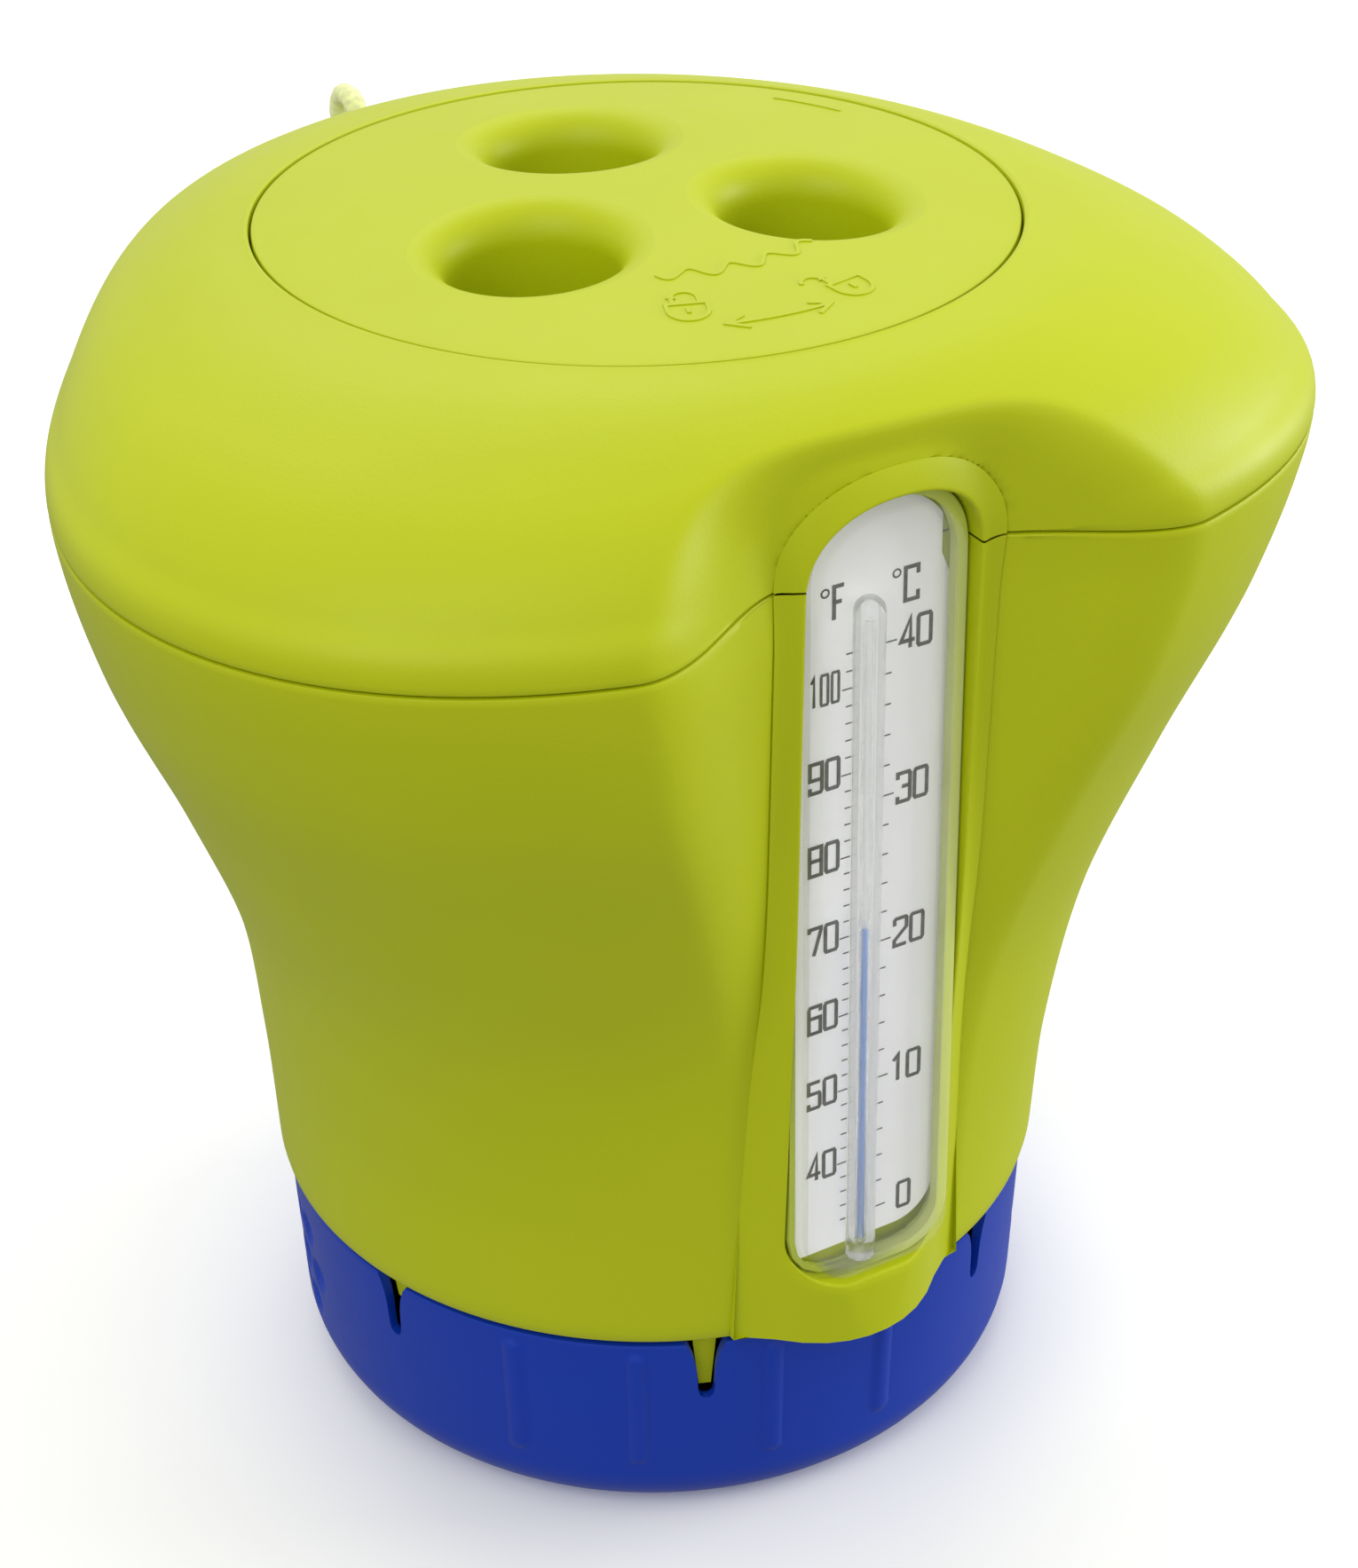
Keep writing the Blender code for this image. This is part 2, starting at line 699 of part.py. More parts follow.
def make_thermometer(materials):
    card_start = POCKET_FLOOR + GAP
    notch_z = 154.5
    arch = rounded_outline(CARD_HALF, CARD_BOTTOM, CARD_TOP, 6.5)
    card = [(min(x, CARD_HALF - 1.4) if z > notch_z else x, z) for x, z in arch]
    card.insert(0, (CARD_HALF - 1.4, notch_z + 0.1))
    card.insert(0, (CARD_HALF, notch_z))
    prism("thermometer_card", card, card_start, card_start + CARD_THICK, materials["white"], LEAN)
    gasket = prism(
        "lens_gasket", inset_window(GAP), card_start, LENS_BACK - GAP, materials["rubber"], LEAN
    )
    hole = prism("gasket_cutter", inset_window(1.1), card_start - 1.0, LENS_BACK + 1.0, lean=LEAN)
    cut(gasket, hole)
    lens = prism(
        "lens", inset_window(GAP), LENS_BACK, LENS_FLANGE, materials["clear"], LEAN
    )
    plateau = prism(
        "lens_plateau", inset_window(LENS_PLATEAU_INSET), LENS_BACK + 0.5, LENS_FRONT, lean=LEAN
    )
    cut(lens, plateau, "UNION")
    hollow = inset_window(LENS_PLATEAU_INSET + LENS_THICK)
    cut(lens, prism("lens_hollow", hollow, LENS_BACK - 1.0, LENS_FRONT - LENS_THICK, lean=LEAN))
    make_tube(materials)


def make_tube(materials):
    dome = []
    for step in range(1, 4):
        angle = math.radians(90.0 - 30.0 * step)
        dome.append((TUBE_R * math.cos(angle), TUBE_TOP - TUBE_R + TUBE_R * math.sin(angle)))
    tube = turned_solid(
        "glass_tube",
        [(0.0, TUBE_TOP), *dome, (TUBE_R, TUBE_BOTTOM), (RESERVOIR_R + 0.2, TUBE_BOTTOM)]
        + [(RESERVOIR_R + 0.2, RESERVOIR_TOP), (TUBE_BORE_R, RESERVOIR_TOP + 1.0)]
        + [(TUBE_BORE_R, TUBE_TOP - 3.5), (0.0, TUBE_TOP - 3.5)],
        materials["glass"],
        steps=12,
    )
    spirit = turned_solid(
        "spirit_column",
        [(0.0, SPIRIT_TOP), (TUBE_BORE_R - 0.3, SPIRIT_TOP), (TUBE_BORE_R - 0.3, RESERVOIR_TOP)]
        + [(RESERVOIR_R - 0.1, RESERVOIR_TOP - 1.0), (RESERVOIR_R - 0.1, TUBE_BOTTOM + 0.4)]
        + [(0.0, TUBE_BOTTOM + 0.4)],
        materials["spirit"],
        steps=12,
    )
    for piece in (tube, spirit):
        piece.rotation_euler.x = -LEAN
        piece.location = (lean_offset(TUBE_AXIS_N) + Vector((TUBE_AXIS_X, 0.0, 0.0))) * MM


def lean_offset(normal):
    """Where a piece turned about Z goes, once leaned, to stand this far out on the panel."""
    turn = Matrix.Rotation(-LEAN, 3, "X")
    middle = Vector((0.0, -PANEL_N, LEAN_HEIGHT))
    return turn @ (Vector((0.0, -normal, 0.0)) - middle) + middle


def add_tether_eye(shell):
    eye = turned_solid(
        "eye_plate",
        [(0.0, EYE_THICK / 2), (EYE_R, EYE_THICK / 2), (EYE_R, -EYE_THICK / 2), (0.0, -EYE_THICK / 2)],
        None,
        steps=24,
    )
    root = [(-EYE_R + 0.3, EYE_Z - EYE_THICK / 2), (EYE_R - 0.3, EYE_Z - EYE_THICK / 2)]
    root += [(EYE_R - 0.3, EYE_Z + EYE_THICK / 2), (-EYE_R + 0.3, EYE_Z + EYE_THICK / 2)]
    web = prism("eye_web", root, -(EYE_Y + 0.4), -85.6)
    hole = turned_solid(
        "eye_hole", [(0.0, 3.0), (EYE_HOLE_R, 3.0), (EYE_HOLE_R, -3.0), (0.0, -3.0)], None, steps=16
    )
    for piece in (eye, hole):
        piece.location = Vector((0.0, EYE_Y, EYE_Z)) * MM
    cut(shell, eye, "UNION")
    cut(shell, web, "UNION")
    cut(shell, hole)


def make_tether(materials):
    rope = materials["rope"]
    loop = torus("tether_loop", LOOP_R, CORD_R, 0.0, rope, steps=24, sides=10)
    loop.rotation_euler.y = math.pi / 2
    loop.location = Vector((0.0, EYE_Y + LOOP_R, EYE_Z)) * MM
    knot = ball("tether_knot", KNOT_R, rope)
    knot.location = Vector((0.0, *KNOT)) * MM
    coil_inner, coil_outer = COIL_R
    coil = turned(
        "tether_coil",
        [(coil_inner, COIL_HEIGHT), (coil_outer, COIL_HEIGHT), (coil_outer, 0.0), (coil_inner, 0.0)],
        rope,
        steps=32,
    )
    coil.location = Vector((*COIL_CENTRE, 0.0)) * MM
    end_knot = ball("tether_end_knot", END_KNOT_R, rope)
    end_knot.location = Vector((*END_KNOT, END_KNOT_R)) * MM
    make_cord(rope)


def ball(name, radius, material, rings=6):
    outline = [(0.0, radius)]
    for ring in range(1, rings):
        angle = math.pi * ring / rings
        outline.append((radius * math.sin(angle), radius * math.cos(angle)))
    outline.append((0.0, -radius))
    return turned_solid(name, outline, material, steps=12)


def route_point(share):
    """A point of the smooth curve through CORD_ROUTE."""
    last = len(CORD_ROUTE) - 1
    index = min(int(share * last), last - 1)
    step = share * last - index
    start = Vector(CORD_ROUTE[index])
    end = Vector(CORD_ROUTE[index + 1])
    before = Vector(CORD_ROUTE[index - 1]) if index else 2 * start - end
    after = Vector(CORD_ROUTE[index + 2]) if index + 2 <= last else 2 * end - start
    curve = (2 * before - 5 * start + 4 * end - after) * step
    curve += (3 * start - before - 3 * end + after) * step * step
    return start + 0.5 * step * (end - before + curve)


def make_cord(material):
    data = bpy.data.curves.new("tether_cord", "CURVE")
    data.dimensions = "3D"
    data.bevel_depth = CORD_R * MM
    data.bevel_resolution = 2
    data.use_fill_caps = True
    spline = data.splines.new("POLY")
    spline.points.add(CORD_POINTS - 1)
    for index, point in enumerate(spline.points):
        place_on_route = route_point(index / (CORD_POINTS - 1)) * MM
        point.co = (*place_on_route, 1.0)
    data.materials.append(material)
    cord = bpy.data.objects.new("tether_cord", data)
    bpy.context.scene.collection.objects.link(cord)


def main():
    clear_scene()
    materials = make_materials()
    make_shells(materials)
    make_chamber(materials)
    make_seals(materials)
    make_cap(materials)
    make_base(materials)
    make_flow_collar(materials)
    make_thermometer(materials)
    make_tether(materials)


main()
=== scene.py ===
"""The floating chlorine dispenser's looks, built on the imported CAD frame.

Lengths are in millimetres until a mesh is made. +Z is up and the thermometer faces -Y.
An azimuth is measured about Z from -Y towards +X, in degrees.
"""

import math

import bmesh
import bpy
from mathutils import Matrix, Vector

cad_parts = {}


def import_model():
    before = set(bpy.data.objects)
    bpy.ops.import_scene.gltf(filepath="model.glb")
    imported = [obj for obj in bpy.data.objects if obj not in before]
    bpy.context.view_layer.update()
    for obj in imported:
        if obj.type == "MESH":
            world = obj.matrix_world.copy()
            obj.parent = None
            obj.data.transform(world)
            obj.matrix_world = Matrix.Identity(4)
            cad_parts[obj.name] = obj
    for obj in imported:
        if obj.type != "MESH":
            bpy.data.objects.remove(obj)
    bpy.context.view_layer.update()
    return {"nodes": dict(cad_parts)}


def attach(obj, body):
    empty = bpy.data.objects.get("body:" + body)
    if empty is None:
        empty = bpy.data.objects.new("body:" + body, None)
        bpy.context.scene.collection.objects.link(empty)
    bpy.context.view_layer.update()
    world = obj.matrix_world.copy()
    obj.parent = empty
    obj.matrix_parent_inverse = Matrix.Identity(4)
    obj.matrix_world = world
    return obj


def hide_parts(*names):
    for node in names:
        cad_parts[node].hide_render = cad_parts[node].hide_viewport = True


MM = 0.001
GAP = 0.3

# The view
LENS_MM = 69.3
CAMERA_AT = (-182.6, -336.2, 331.6)
CAMERA_HEADING = -29.19
CAMERA_PITCH = 31.86
CAMERA_ROLL = -0.86

# Body: (height, mean radius, how far a lobe stands out from that mean)
STATIONS = (
    (36.6, 59.2, 0.0),
    (60.8, 60.5, 0.5),
    (87.6, 64.1, 2.2),
    (113.9, 72.3, 4.0),
    (138.1, 81.0, 5.6),
    (159.5, 85.0, 6.9),
    (167.0, 82.3, 6.0),
    (174.0, 76.2, 4.0),
    (179.0, 68.2, 2.3),
    (182.6, 60.0, 1.0),
    (184.6, 51.6, 0.0),
)
SEAM_STATION = 5
BODY_BOTTOM = STATIONS[0][0]
SEAM = STATIONS[SEAM_STATION][0]
BODY_TOP = STATIONS[-1][0]
MOUTH_R = STATIONS[-1][1]
WALL = 2.4
COLLAR_BOTTOM = 171.3
COLLAR_R = 54.0
FLOOR_TOP = 42.4
FLOOR_BOTTOM = 40.0
FLOOR_HOLE_R = 48.6
FLOOR_EDGE_R = 56.6
FOOT_R = 59.0

# Valley and the housing in it
VALLEY_FLOOR_R = 59.0
VALLEY_FLARE = 0.045
VALLEY_HALF_ANGLE = 12.5
VALLEY_WALL_ANGLE = 12.5
VALLEY_WALL_RISE = 17.7
VALLEY_POWER = 1.6
VALLEY_ROUNDING = 7.0
VALLEY_ARCH = 164.5
VALLEY_ARCH_RATE = 1.1
VALLEY_SQUARENESS = 2.6
VALLEY_ARCH_TURN = 2.2
VALLEY_TURN_HEIGHTS = (150.0, 170.0)
ARCH_SQUARENESS = 2.2
ARCH_RISE = 0.9
SHOULDER_CENTRE = (40.0, 150.0)
HOUSING_HALF = 16.8
HOUSING_TOP = 174.0
HOUSING_FRONT_R = 65.6
HOUSING_FLARE = 0.011
CHIN_TOP = 98.0
CHIN_SPREAD = 2.6
CHIN_SOFTNESS = 0.9
HOUSING_SPRING = HOUSING_TOP - ARCH_RISE * HOUSING_HALF
HOUSING_BACK_R = 57.0
HOUSING_EDGE = 0.55
HOUSING_ROWS = (0.16, 0.28, 0.4, 0.52, 0.64, 0.74, 0.83, 0.9, 0.95, 0.98, 1.0)
FOOT_SHARE = 0.985
SUNK_R = 58.2

# Thermometer
LEAN = math.radians(0.7)
LEAN_HEIGHT = 107.0
PANEL_N = 60.0
POCKET_HALF = 12.8
POCKET_BOTTOM = 47.2
POCKET_TOP = 169.8
POCKET_CORNER = 8.0
POCKET_FLOOR = 59.3
CARD_FACE = POCKET_FLOOR + GAP + 0.7
CARD_HALF = 11.4
CARD_BOTTOM = 51.5
CARD_TOP = 167.0
CARD_CORNER = 6.5
NOTCH_Z = 154.5
NOTCH_WIDTH = 1.4
LENS_BACK = 61.0
LENS_FLANGE = 62.6
LENS_FRONT = 65.9
TUBE_R = 2.1
TUBE_BORE_R = 0.55
TUBE_AXIS_X = -2.1
TUBE_AXIS_N = 62.6
TUBE_BOTTOM = 50.6
TUBE_TOP = 155.0
READING_F = 72.0
FREEZING_Z = 55.7
DEGREE_F = 1.257
FIGURE_HEIGHT = 4.3
FIGURE_GAP = 0.7
PRINT_RISE = 0.05

# Cap
CAP_R = 51.1
CAP_TOP = 184.4
CAP_CROWN = 3.2
CAP_PLATE = 2.6
CAP_SKIRT_BOTTOM = 174.0
CAP_SKIRT_R = 47.2
SEAL_GROOVE_R = 49.4
SEAL_GROOVE_HEIGHTS = (177.9, 180.1)
ICON_R = 43.0
WAVE_R = 29.0
WELLS = 3
WELL_CIRCLE_R = 22.7
WELL_AZIMUTH = 54.8
WELL_R = 11.3
WELL_WALL = 1.7
WELL_FILLET = 5.2
WELL_DEPTH = 24.2

# Base
BASE_AZIMUTH = -22.0
BASE_TOP_Z = 35.2
BASE_TOP_R = 58.1
BASE_LOW_R = 57.2
BASE_FILLET = 9.4
SLOT_ANGLES = (-49.5, 0.0, 49.5, 130.5, 180.0, 229.5)
RIB_ANGLES = (-28.3, -10.0, 10.0, 28.3, 151.7, 170.0, 190.0, 208.3)
RIB_HEIGHTS = (13.0, 32.0)
RIB_HALF_WIDTH = 1.45
RIB_RISE = 0.6
DIMPLE_ROWS = (12.0, 19.0, 26.0)
DIMPLE_PITCH = 6.6
DIMPLE_R = 3.1
DIMPLE_REACH = 19.0

# Tether: its loop stands in the moulded eye
CORD_R = 1.8
EYE_Y = 91.4
EYE_Z = 168.3
LOOP_R = 3.8
KNOT = (0.0, 99.4, 159.2)
COIL_CENTRE = (35.0, 83.4)
COIL_OUTER = 25.6
COIL_INNER = 18.4
COIL_TURNS = 7.6
CORD_ROUTE = (
    (0.0, 99.4, 154.9),
    (0.0, 99.6, 143.0),
    (-0.4, 101.0, 120.0),
    (-1.1, 104.2, 94.0),
    (-2.0, 107.2, 65.0),
    (-2.8, 108.8, 40.0),
    (-3.0, 109.2, 22.0),
    (-1.0, 109.2, 8.5),
    (5.0, 109.0, 2.6),
    (12.0, 109.0, 1.8),
    (20.5, 109.0, 1.8),
)

# Colours
LIME = (0.44, 0.50, 0.003)
BLUE = (0.002, 0.034, 0.37)


def set_inputs(node, values):
    for name, value in values.items():
        node.inputs[name].default_value = value


class Shader:
    """A material's node tree with a few short ways to add to it."""

    def __init__(self, name):
        self.material = bpy.data.materials.new(name)
        self.material.use_nodes = True
        self.tree = self.material.node_tree
        self.surface = self.tree.nodes["Principled BSDF"]
        self.place = self.add("ShaderNodeTexCoord").outputs["Object"]

    def add(self, kind, inputs=None, **settings):
        node = self.tree.nodes.new(kind)
        for name, value in settings.items():
            setattr(node, name, value)
        set_inputs(node, inputs or {})
        return node

    def link(self, source, target):
        self.tree.links.new(source, target)

    def noise(self, scale, detail=2.0, roughness=0.5):
        node = self.add(
            "ShaderNodeTexNoise", {"Scale": scale, "Detail": detail, "Roughness": roughness}
        )
        self.link(self.place, node.inputs["Vector"])
        return node.outputs["Fac"]

    def ramp(self, source, stops):
        node = self.add("ShaderNodeValToRGB")
        stop_list = node.color_ramp.elements
        while len(stop_list) < len(stops):
            stop_list.new(0.5)
        for stop, (position, colour) in zip(stop_list, stops):
            stop.position = position
            stop.color = (*colour, 1.0)
        self.link(source, node.inputs["Fac"])
        return node.outputs["Color"]

    def paint(self, source, stops):
        """Colours the surface from this noise, by a ramp through the stops."""
        self.link(self.ramp(source, stops), self.surface.inputs["Base Color"])

    def grain(self, height, strength, distance):
        """Raises the surface by this noise."""
        node = self.add("ShaderNodeBump", {"Strength": strength, "Distance": distance})
        self.link(height, node.inputs["Height"])
        self.link(node.outputs["Normal"], self.surface.inputs["Normal"])


def shade(colour, factor):
    return tuple(channel * factor for channel in colour)


def moulded_plastic(name, colour, roughness, grain=0.25, spread=0.015, specular=0.5):
    """Moulded plastic: a fine grain and slow changes of tone."""
    shader = Shader(name)
    tone = shader.noise(28.0, 3.0)
    stops = [(0.3, shade(colour, 1 - spread)), (0.7, shade(colour, 1 + spread))]
    shader.paint(tone, stops)
    rough = shader.add(
        "ShaderNodeMapRange", {"To Min": roughness - 0.04, "To Max": roughness + 0.05}
    )
    shader.link(shader.noise(160.0, 2.0), rough.inputs["Value"])
    shader.link(rough.outputs["Result"], shader.surface.inputs["Roughness"])
    shader.grain(shader.noise(1500.0, 3.0, 0.6), grain, 0.00012)
    set_inputs(shader.surface, {"Specular IOR Level": specular})
    return shader.material


def printed_card(name, colour):
    shader = Shader(name)
    stops = [(0.35, shade(colour, 0.97)), (0.7, colour)]
    shader.paint(shader.noise(60.0, 4.0), stops)
    shader.grain(shader.noise(2600.0, 2.0), 0.08, 0.00005)
    set_inputs(shader.surface, {"Roughness": 0.42})
    return shader.material


def ink(name):
    shader = Shader(name)
    stops = [(0.3, (0.035, 0.035, 0.035)), (0.75, (0.10, 0.10, 0.095))]
    shader.paint(shader.noise(900.0, 3.0), stops)
    set_inputs(shader.surface, {"Roughness": 0.6})
    return shader.material


def clear_plastic(name, tint, bending, cover, roughness):
    """A clear material: it bends light this much, and veils what is behind it by its cover."""
    shader = Shader(name)
    shader.grain(shader.noise(240.0, 1.0), 0.03, 0.0002)
    looks = {"Base Color": (*tint, 1.0), "Transmission Weight": bending, "IOR": 1.45}
    set_inputs(shader.surface, {**looks, "Roughness": roughness, "Alpha": cover})
    return shader.material


def clear_rim(name, tint):
    """The lens's rim: clear on the left, where the card is behind it, and a milky light lime on the
    right, painted light that stands in for the lit seal and pocket floor seen through it.
    """
    shader = Shader(name)
    split = shader.add("ShaderNodeSeparateXYZ")
    shader.link(shader.place, split.inputs["Vector"])
    # painted light: the cover climbs from clear on the left to a near opaque light lime on the
    # right
    cover = shader.add(
        "ShaderNodeMapRange",
        {"From Min": -0.006, "From Max": 0.006, "To Min": 0.08, "To Max": 0.85},
    )
    shader.link(split.outputs["X"], cover.inputs["Value"])
    shader.link(cover.outputs["Result"], shader.surface.inputs["Alpha"])
    stops = [(0.3, shade(tint, 0.97)), (0.7, tint)]
    shader.paint(shader.noise(60.0), stops)
    set_inputs(shader.surface, {"Roughness": 0.35})
    return shader.material


def braid(name, colour):
    shader = Shader(name)
    stops = [(0.25, shade(colour, 0.72)), (0.6, colour), (0.85, shade(colour, 1.12))]
    shader.paint(shader.noise(900.0, 4.0), stops)
    shader.grain(shader.noise(5200.0, 3.0, 0.7), 0.5, 0.00012)
    set_inputs(shader.surface, {"Roughness": 0.85, "Sheen Weight": 0.3, "Sheen Roughness": 0.5})
    return shader.material


def soft_rubber(name):
    shader = Shader(name)
    stops = [(0.3, (0.03, 0.03, 0.03)), (0.7, (0.06, 0.06, 0.06))]
    shader.paint(shader.noise(140.0, 3.0), stops)
    shader.grain(shader.noise(1900.0, 2.0), 0.2, 0.0001)
    set_inputs(shader.surface, {"Roughness": 0.6})
    return shader.material


def make_materials():
    return {
        "lime": moulded_plastic("lime_plastic", LIME, 0.46, specular=0.25),
        # painted shade: the parts inside the float get the lime darkened by a tenth
        "lime_inner": moulded_plastic("inner_plastic", shade(LIME, 0.9), 0.5, grain=0.1),
        "silicone": moulded_plastic("lens_seal", (0.46, 0.54, 0.06), 0.5, grain=0.0),
        "blue": moulded_plastic("blue_plastic", BLUE, 0.4, grain=0.2, spread=0.03, specular=0.3),
        "card": printed_card("printed_card", (0.97, 0.97, 0.98)),
        "ink": ink("card_ink"),
        "lens": clear_plastic("clear_lens", (0.90, 0.93, 0.84), 0.0, 0.06, 0.12),
        # the lens rim's light lime on its right side is painted light for the lit seal behind it
        "lens_rim_painted_light": clear_rim("lens_rim_painted_light", (0.66, 0.74, 0.13)),
        "glass": clear_plastic("tube_glass", (0.97, 0.98, 0.98), 1.0, 0.6, 0.02),
        "spirit": moulded_plastic("spirit", (0.20, 0.34, 0.75), 0.2, grain=0.0),
        "rubber": soft_rubber("rubber"),
        "rope": braid("rope", (0.80, 0.84, 0.40)),
    }


def place(radius, azimuth, z):
    angle = math.radians(azimuth)
    return Vector((radius * math.sin(angle), -radius * math.cos(angle), z))


def add_mesh(name, points, faces, material, smooth=40.0):
    mesh = bpy.data.meshes.new(name)
    mesh.from_pydata([Vector(point) * MM for point in points], [], faces)
    work = bmesh.new()
    work.from_mesh(mesh)
    bmesh.ops.recalc_face_normals(work, faces=work.faces)
    work.to_mesh(mesh)
    work.free()
    mesh.shade_smooth()
    mesh.set_sharp_from_angle(angle=math.radians(smooth))
    mesh.materials.append(material)
    obj = bpy.data.objects.new(name, mesh)
    bpy.context.scene.collection.objects.link(obj)
    return obj


def grid_faces(columns, rows, closed_columns=True, closed_rows=False):
    faces = []
    for column in range(columns if closed_columns else columns - 1):
        here = column * rows
        there = (column + 1) % columns * rows
        for row in range(rows if closed_rows else rows - 1):
            below = (row + 1) % rows
            faces.append((here + row, here + below, there + below, there + row))
    return faces


def capped_faces(columns, rows):
    """The faces of a run of closed outlines, with a cap at each end."""
    faces = grid_faces(columns, rows, closed_columns=False, closed_rows=True)
    faces.append(tuple(range(rows)))
    faces.append(tuple(range(columns * rows - 1, (columns - 1) * rows - 1, -1)))
    return faces


def arc(centre, radius, start, end, steps=10):
    """Points along a circle from one angle to another, in degrees."""
    points = []
    for step in range(steps + 1):
        angle = math.radians(start + (end - start) * step / steps)
        points.append((centre[0] + radius * math.cos(angle), centre[1] + radius * math.sin(angle)))
    return points


def turned(name, outline, material, steps=180, smooth=40.0):
    """A surface turned about Z from an open (radius, z) outline; a point on the axis is shared."""
    points = [
        place(radius, 360.0 * step / steps, z) for step in range(steps) for radius, z in outline
    ]
    obj = add_mesh(name, points, grid_faces(steps, len(outline)), material, smooth)
    merge_close(obj)
    return obj


def merge_close(obj):
    """Joins the points that lie on one spot, such as a turned surface's on the axis."""
    work = bmesh.new()
    work.from_mesh(obj.data)
    bmesh.ops.remove_doubles(work, verts=work.verts, dist=0.0005 * MM)
    work.to_mesh(obj.data)
    work.free()


def join(name, pieces):
    """One mesh object made of several; the first piece's sharp edges and material stay."""
    with bpy.context.temp_override(active_object=pieces[0], selected_editable_objects=pieces):
        bpy.ops.object.join()
    pieces[0].name = name
    pieces[0].data.name = name
    return pieces[0]


def boolean(obj, cutter, operation="DIFFERENCE"):
    """Applies the Boolean at once and removes the cutter."""
    modifier = obj.modifiers.new("boolean", "BOOLEAN")
    modifier.operation = operation
    modifier.solver = "EXACT"
    modifier.object = cutter
    graph = bpy.context.evaluated_depsgraph_get()
    mesh = bpy.data.meshes.new_from_object(obj.evaluated_get(graph))
    obj.modifiers.clear()
    obj.data = mesh
    bpy.data.objects.remove(cutter)


def resharpen(obj, degrees=40.0):
    obj.data.shade_smooth()
    obj.data.set_sharp_from_angle(angle=math.radians(degrees))


def show(obj, body, slot, *nodes):
    """The piece rides on a body and stands for these CAD nodes."""
    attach(obj, body)
    if nodes:
        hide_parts(*nodes)


def smooth_min(first, second, rounding):
    blend = max(rounding - abs(first - second), 0.0) / rounding
    return min(first, second) - blend * blend * rounding / 4


def smooth_step(low, high, value):
    share = min(max((value - low) / (high - low), 0.0), 1.0)
    return share * share * (3.0 - 2.0 * share)


def signed(azimuth):
    return (azimuth + 180.0) % 360.0 - 180.0


def curve_point(points, position):
    """The point on a smooth curve through these points, one unit of position per point."""
    last = len(points) - 1
    index = min(max(int(position), 0), last - 1)
    step = position - index
    start = Vector(points[index])
    end = Vector(points[index + 1])
    before = Vector(points[index - 1]) if index else 2 * start - end
    after = Vector(points[index + 2]) if index + 2 <= last else 2 * end - start
    curve = (2 * before - 5 * start + 4 * end - after) * step
    curve += (3 * start - before - 3 * end + after) * step * step
    return start + 0.5 * step * (end - before + curve)


def rounded_distance(across, up, squareness=ARCH_SQUARENESS):
    """How far out a point is, measured so that equal distances make a squarish arch."""
    return (abs(across) ** squareness + up**squareness) ** (1.0 / squareness)


def valley_floor(z):
    return VALLEY_FLOOR_R + VALLEY_FLARE * (z - BODY_BOTTOM)


def valley_radius(azimuth, z):
    """The valley's surface: a flat floor, side walls, and an arch that closes it above."""
    above = VALLEY_ARCH_RATE * max(z - VALLEY_ARCH, 0.0)
    turn = VALLEY_ARCH_TURN * smooth_step(*VALLEY_TURN_HEIGHTS, z)
    away = rounded_distance(azimuth + turn, above, VALLEY_SQUARENESS)
    beyond = max(away - VALLEY_HALF_ANGLE, 0.0) / VALLEY_WALL_ANGLE
    return valley_floor(z) + VALLEY_WALL_RISE * beyond**VALLEY_POWER


def chin_share(z):
    """How far down the chin this height is: 0 above it, 1 at the shell's bottom."""
    return max((CHIN_TOP - z) / (CHIN_TOP - BODY_BOTTOM), 0.0)


def housing_half(z):
    return HOUSING_HALF + CHIN_SPREAD * chin_share(z)


def housing_share(azimuth, z):
    """0 on the housing's middle line, 1 at its foot."""
    across = math.radians(azimuth) * valley_floor(z)
    return rounded_distance(across, max(z - HOUSING_SPRING, 0.0) / ARCH_RISE) / housing_half(z)


def housing_radius(azimuth, z):
    """The housing's surface, raised from the shell."""
    share = min(housing_share(azimuth, z), 1.0)
    low = chin_share(z)
    front = HOUSING_FRONT_R + HOUSING_FLARE * (z - BODY_BOTTOM)
    foot = shell_radius(azimuth, z)
    bulge = (1.0 - share ** (3.0 - CHIN_SOFTNESS * low)) ** (0.9 + 0.5 * low)
    return foot + max(front - foot, 0.0) * bulge


def shell_point(position, azimuth):
    """The shell's outer surface without the housing, as (radius, z)."""
    z, mean, lobe = curve_point(STATIONS, position)
    radius = mean - lobe * math.cos(math.radians(3.0 * azimuth))
    side = signed(azimuth)
    centre_r, centre_z = SHOULDER_CENTRE
    if z > centre_z:
        distance = math.hypot(radius - centre_r, z - centre_z)
        along_r = (radius - centre_r) / distance
        along_z = (z - centre_z) / distance
        lean = along_z / max(along_r, 0.05)
        floor_z = centre_z + (valley_floor(z) - centre_r) * lean
        limit = (valley_radius(side, floor_z) - centre_r) / max(along_r, 0.05)
        distance = smooth_min(distance, limit, VALLEY_ROUNDING)
        return centre_r + distance * along_r, centre_z + distance * along_z
    return smooth_min(radius, valley_radius(side, z), VALLEY_ROUNDING), z


def shell_position(azimuth, z):
    """The place along the stations where the shell reaches a height."""
    low = 0.0
    high = len(STATIONS) - 1.0
    for _ in range(15):
        middle = (low + high) / 2
        if shell_point(middle, azimuth)[1] < z:
            low = middle
        else:
            high = middle
    return low


def shell_radius(azimuth, z):
    """The shell's radius at a height, without the housing."""
    return shell_point(shell_position(azimuth, z), azimuth)[0]


def sunk(radius, azimuth, z):
    """Moves the shell behind the pocket where the housing covers it."""
    share = housing_share(signed(azimuth), z)
    return radius + (min(radius, SUNK_R) - radius) * (1.0 - smooth_step(0.86, 0.97, share))


def shell_azimuths():
    """Close columns across the thermometer, wider ones round the rest."""
    fine = [0.75 * step for step in range(-48, 49)]
    return fine + [36.0 + 2.0 * step for step in range(1, 144)]


